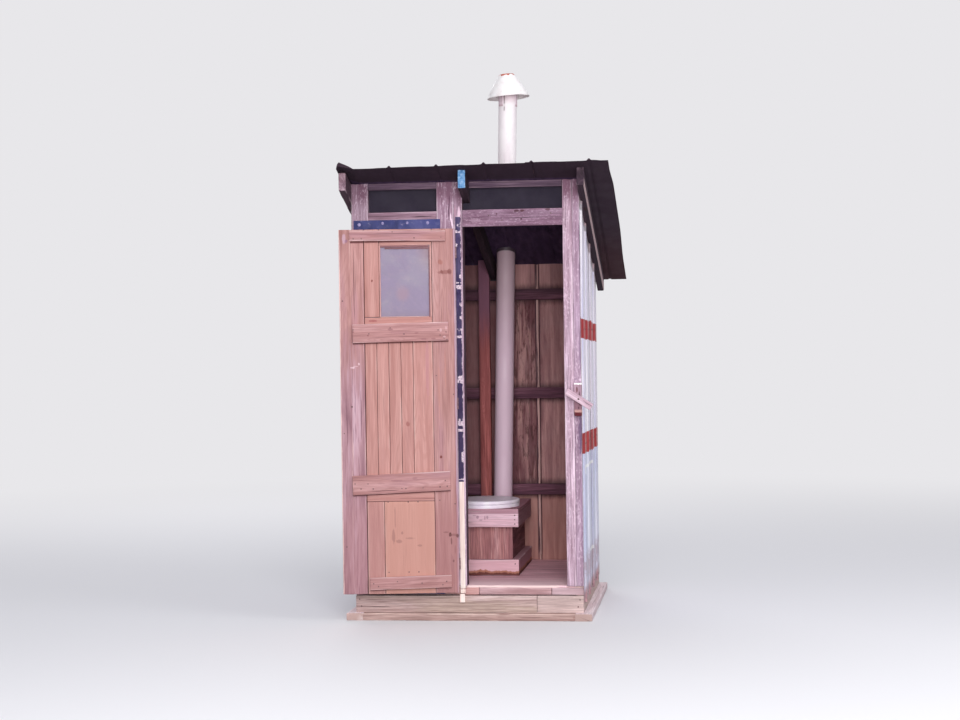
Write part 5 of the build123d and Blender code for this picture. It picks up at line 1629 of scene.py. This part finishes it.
BEAD_SHADE = wood("bead_shaded_wood", (106, 68, 76), (140, 98, 104), (170, 124, 128), None, None, 0, 0.1,
                  0.4, 0.3, 0.3)
BEAD_WOOD = wood("bead_wood", (166, 116, 112), (194, 146, 142), (210, 168, 163), (222, 186, 180),
                 None, 0, 0.1, 0.4, 0.2, 0.2)
shell.piece("window_beads_strips", [BEAD_WOOD, BEAD_SHADE], "door", ("window_beads",))


# Seat ring and lid
def seat_plastic(g, grain, place, board):
    """White moulded plastic, dusty on top."""
    cloud = place.noise((14, 14, 14), 4, 0.6, 0.4)
    fine = place.noise((120, 120, 120), 3, 0.6)
    colour = cloud.shades(0.3, 0.7, (236, 222, 240), (252, 240, 254), (255, 250, 255))
    dust = board[1] * fine.span(0.35, 0.65, 0.3, 0.8)
    return colour.mix(dust, (212, 194, 212)), fine * 0.2 + cloud


SEAT = metal("seat_white_plastic", seat_plastic, 0.15, (0.3, 0.5))
SEAT_CENTRE = np.array((0.0185, 0.652))


def dome(points):
    """Lets the lid rise to its middle."""
    away = (points[:, :2] - SEAT_CENTRE) / (0.185, 0.205)
    rise = np.clip(1 - (away**2).sum(1), 0, 1)
    moved = points.copy()
    moved[:, 2] += rise * 0.006 * smooth(0.572, 0.586, points[:, 2])
    return moved


def dusty_top(points):
    """Dust on the lid's upper side."""
    dust = smooth(0.583, 0.587, points[:, 2]) * (0.45 + 0.4 * field(points, (0.05, 0.05, 0.05), 12))
    return stacked(np.clip(dust, 0, 1), 0)


for node, bevel, move in (("seat_ring", 0.005, None), ("seat_lid", 0.0075, dome)):
    shell = Shell()
    cuts = cell_cuts(node, 0.012) if move else ((), (), ())
    from_work(shell, softened(node, cuts, bevel, 3), move=move, wear=dusty_top)
    shell.piece(f"{node}_moulded", [SEAT], BODY_OF[node], (node,), 35)


# Nails, washers and screws
TO_FRONT = (0, -1, 0)


def studs(name, spots, body, material, radius, proud, sides=10, nodes=()):
    """Low domed heads: spots are (point, outward direction)."""
    shell = Shell()
    circle = [2 * pi * n / sides for n in range(sides)]
    for number, (point, out) in enumerate(spots):
        turn = Vector(out).normalized().to_track_quat("Z", "Y").to_matrix()
        size = radius * (0.88 + 0.24 * hashed(np.array((number, 3, 7)), 5))
        rows = ((1.0, -0.4), (1.0, 0.45), (0.72, 0.95))
        points = [Vector(point) + turn @ Vector((cos(a) * size * r, sin(a) * size * r, proud * h))
                  for r, h in rows for a in circle]
        points.append(Vector(point) + turn @ Vector((0, 0, proud)))
        index = np.arange(3 * sides).reshape(3, sides)
        side = np.roll(index, -1, 1)
        faces = quads(index[:-1], side[:-1], side[1:], index[1:])
        faces += [[*pair, 3 * sides] for pair in np.stack([index[2], side[2]], -1).tolist()]
        points = np.array([p[:] for p in points])
        shell.add(points, faces, points, (0.5, 0, 0))
    return shell.piece(name, [material], body, nodes, 50)


inner = tuple(DOOR_Y)
rail_nails = [
    (538, 2027), (496, 2026), (332, 2061), (217, 2028), (75, 2030), (545, 1547), (462, 1525), (350, 1555),
    (277, 1522), (97, 1541), (87, 1514), (55, 1530), (66, 1498), (51, 1490), (546, 734), (515, 707),
    (478, 733), (451, 706), (299, 706), (278, 706), (188, 708), (98, 712), (70, 745), (60, 715),
    (455, 205),
    (330, 215), (200, 205), (70, 212), (430, 190), (90, 195),
]
spots = [(door_point(a * MM, 0.0438, z * MM), inner) for a, z in rail_nails]
board_nails = [
    (374, 635), (268, 633), (216, 633), (374, 262), (268, 262), (216, 262), (557, 1140), (20, 620),
    (600, 1700), (600, 1000), (595, 400), (110, 1300), (20, 1200), (100, 640),
]
spots += [(door_point(a * MM, 0.0248, z * MM), inner) for a, z in board_nails]
studs("door_nails", spots, "door", STEEL, 0.0034, 0.0009)

washers = [(-0.568, 2.109), (-0.441, 2.114), (-0.308, 2.114), (-0.198, 2.112)]
washers += [(x, z) for z in (1.70, 1.30, 0.90, 0.50, 0.17) for x in (-0.568, -0.16)]
PALE_WASHER = plain_metal("pale_washer", (112, 104, 150), (146, 136, 178), (180, 170, 204), 90)
studs("panel_washers", [((x, -0.0022, z), TO_FRONT) for x, z in washers], "frame", PALE_WASHER, 0.008,
      0.0018, 14)

fixings = []
for outward in (1, -1):
    for z in (0.11, 0.92, 1.535):
        for y in np.arange(0.105, 1.20, 0.1016):
            fixings.append(((outward * (HALF_WIDTH + 0.0018), y, z), (outward, 0, 0)))
for z in (0.11, *GIRTS_UP):
    for x in np.arange(-0.56, 0.6, 0.1219):
        fixings.append(((x, 1.2208, z), (0, 1, 0)))
studs("wall_sheet_nails", fixings, "frame", STEEL, 0.005, 0.0022)
roof_nails = []
up_slope = (0, sin(PITCH), cos(PITCH))
for y, x in itertools.product((-0.10, 0.15, 0.55, 0.95, 1.35), (-0.6285, 0.0065, 0.6285)):
    rise = (y - ROOF_FRONT) / cos(PITCH)
    roof_nails.append((roof_point(x, rise, 0.016 if abs(x) > 0.62 else 0.003), up_slope))
studs("roof_nails", roof_nails, "frame", STEEL, 0.007, 0.003)
post_nails = (
    (0.46, -0.0002, 2.150), (0.13, -0.0002, 2.143), (0.20, -0.0002, 2.118), (0.1985, 0.4395, 0.512),
    (0.1985, 0.4395, 0.488), (0.1985, 0.4395, 0.464), (0.198, 0.4395, 0.243), (0.590, -0.0243, 0.108),
    (0.580, -0.0243, 0.071), (-0.590, -0.0243, 0.108), (-0.580, -0.0243, 0.071),
)
studs("frame_nails", [(spot, TO_FRONT) for spot in post_nails], "frame", STEEL, 0.0036, 0.001)

studs("button_screw_head", [((button_pivot[0], button_low[1] + 0.001, button_pivot[2]), TO_FRONT)],
      BODY_OF["button_screw"], STEEL, 0.0046, 0.0036,
      14, ("button_screw",))

# Floor, light and camera
BACKDROP = tone(232, 231, 234)


def in_view(g):
    """1 for rays that end at the camera, straight or by way of gloss or plastic, 0 for all others."""
    ray = g.make("ShaderNodeLightPath", {}, "Is Camera Ray")
    return ray.most(ray.outlet("Is Glossy Ray")).most(ray.outlet("Is Transmission Ray"))


g = Graph(bpy.data.materials.new("studio_floor"))
seen = in_view(g)
floor_colour = g.mix(seen, (150, 146, 150), (236, 235, 238))
matt = g.make("ShaderNodeBsdfPrincipled", {"Base Color": floor_colour, "Roughness": 0.9})
where = g.make("ShaderNodeTexCoord", {}, "Object")
distance = g.make("ShaderNodeVectorMath", {0: where}, "Value", operation="LENGTH")
bright = g.make("ShaderNodeEmission", {"Color": BACKDROP, "Strength": 1.0})
ground = g.put_out(g.make("ShaderNodeMixShader",
                          {0: seen * distance.span(2.0, 11.0), 1: matt, 2: bright}))
floor = bpy.data.meshes.new("studio_floor")
horizon = [2 * pi * n / 96 for n in range(96)]
floor.from_pydata([(400 * cos(a), 400 * sin(a), 0) for a in horizon], [], [list(range(96))])
floor.materials.append(ground)
floor = bpy.data.objects.new("studio_floor", floor)
bpy.context.scene.collection.objects.link(floor)

world = bpy.data.worlds.new("studio")
bpy.context.scene.world = world
g = Graph(world)
lit = g.make("ShaderNodeBackground", {0: tone(236, 238, 246), 1: 0.52})
shown = g.make("ShaderNodeBackground", {0: BACKDROP, 1: 1.0})
g.put_out(g.make("ShaderNodeMixShader", {0: in_view(g), 1: lit, 2: shown}), "ShaderNodeOutputWorld")


def lamp(name, kind, energy, where, aim, **settings):
    """A lamp at a place, aimed at a point."""
    data = bpy.data.lights.new(name, kind)
    data.energy = energy
    for key, value in settings.items():
        setattr(data, key, value)
    made = bpy.data.objects.new(name, data)
    made.location = where
    made.rotation_mode = "QUATERNION"
    made.rotation_quaternion = (Vector(aim) - Vector(where)).to_track_quat("-Z", "Y")
    bpy.context.scene.collection.objects.link(made)


lamp("sky_key", "AREA", 200, (0.9, -7.0, 6.0), (0.1, 0.3, 0.9), shape="DISK", size=4.0)
lamp("sky_front", "AREA", 500, (1.6, -9.0, 2.3), (0.2, 0.3, 1.1), shape="DISK", size=4.5)
lamp("sky_side", "AREA", 140, (6.5, -3.0, 3.5), (0.4, 0.6, 1.1), shape="DISK", size=4.0)
lamp("sky_rear", "AREA", 170, (-3.0, 8.5, 5.0), (0, 0.6, 1.2), shape="DISK", size=5.0)

camera_data = bpy.data.cameras.new("camera")
camera = bpy.data.objects.new("camera", camera_data)
bpy.context.scene.collection.objects.link(camera)
YAW, LIFT, ROLL = radians(7.26), radians(-0.60), radians(-0.78)
forward = Vector((-sin(YAW) * cos(LIFT), cos(YAW) * cos(LIFT), sin(LIFT)))
right = Vector((cos(YAW), sin(YAW), 0))
upward = right.cross(forward)
turned_right = right * cos(ROLL) + upward * sin(ROLL)
turned_up = -right * sin(ROLL) + upward * cos(ROLL)
camera.matrix_world = Matrix.Translation((1.3575, -10.083, 1.485)) @ Matrix(
    (turned_right, turned_up, -forward)).transposed().to_4x4()
camera_data.sensor_width = 36
camera_data.lens = 71.8
camera_data.clip_end = 200
bpy.context.scene.camera = camera
bpy.context.scene.view_settings.view_transform = "Standard"
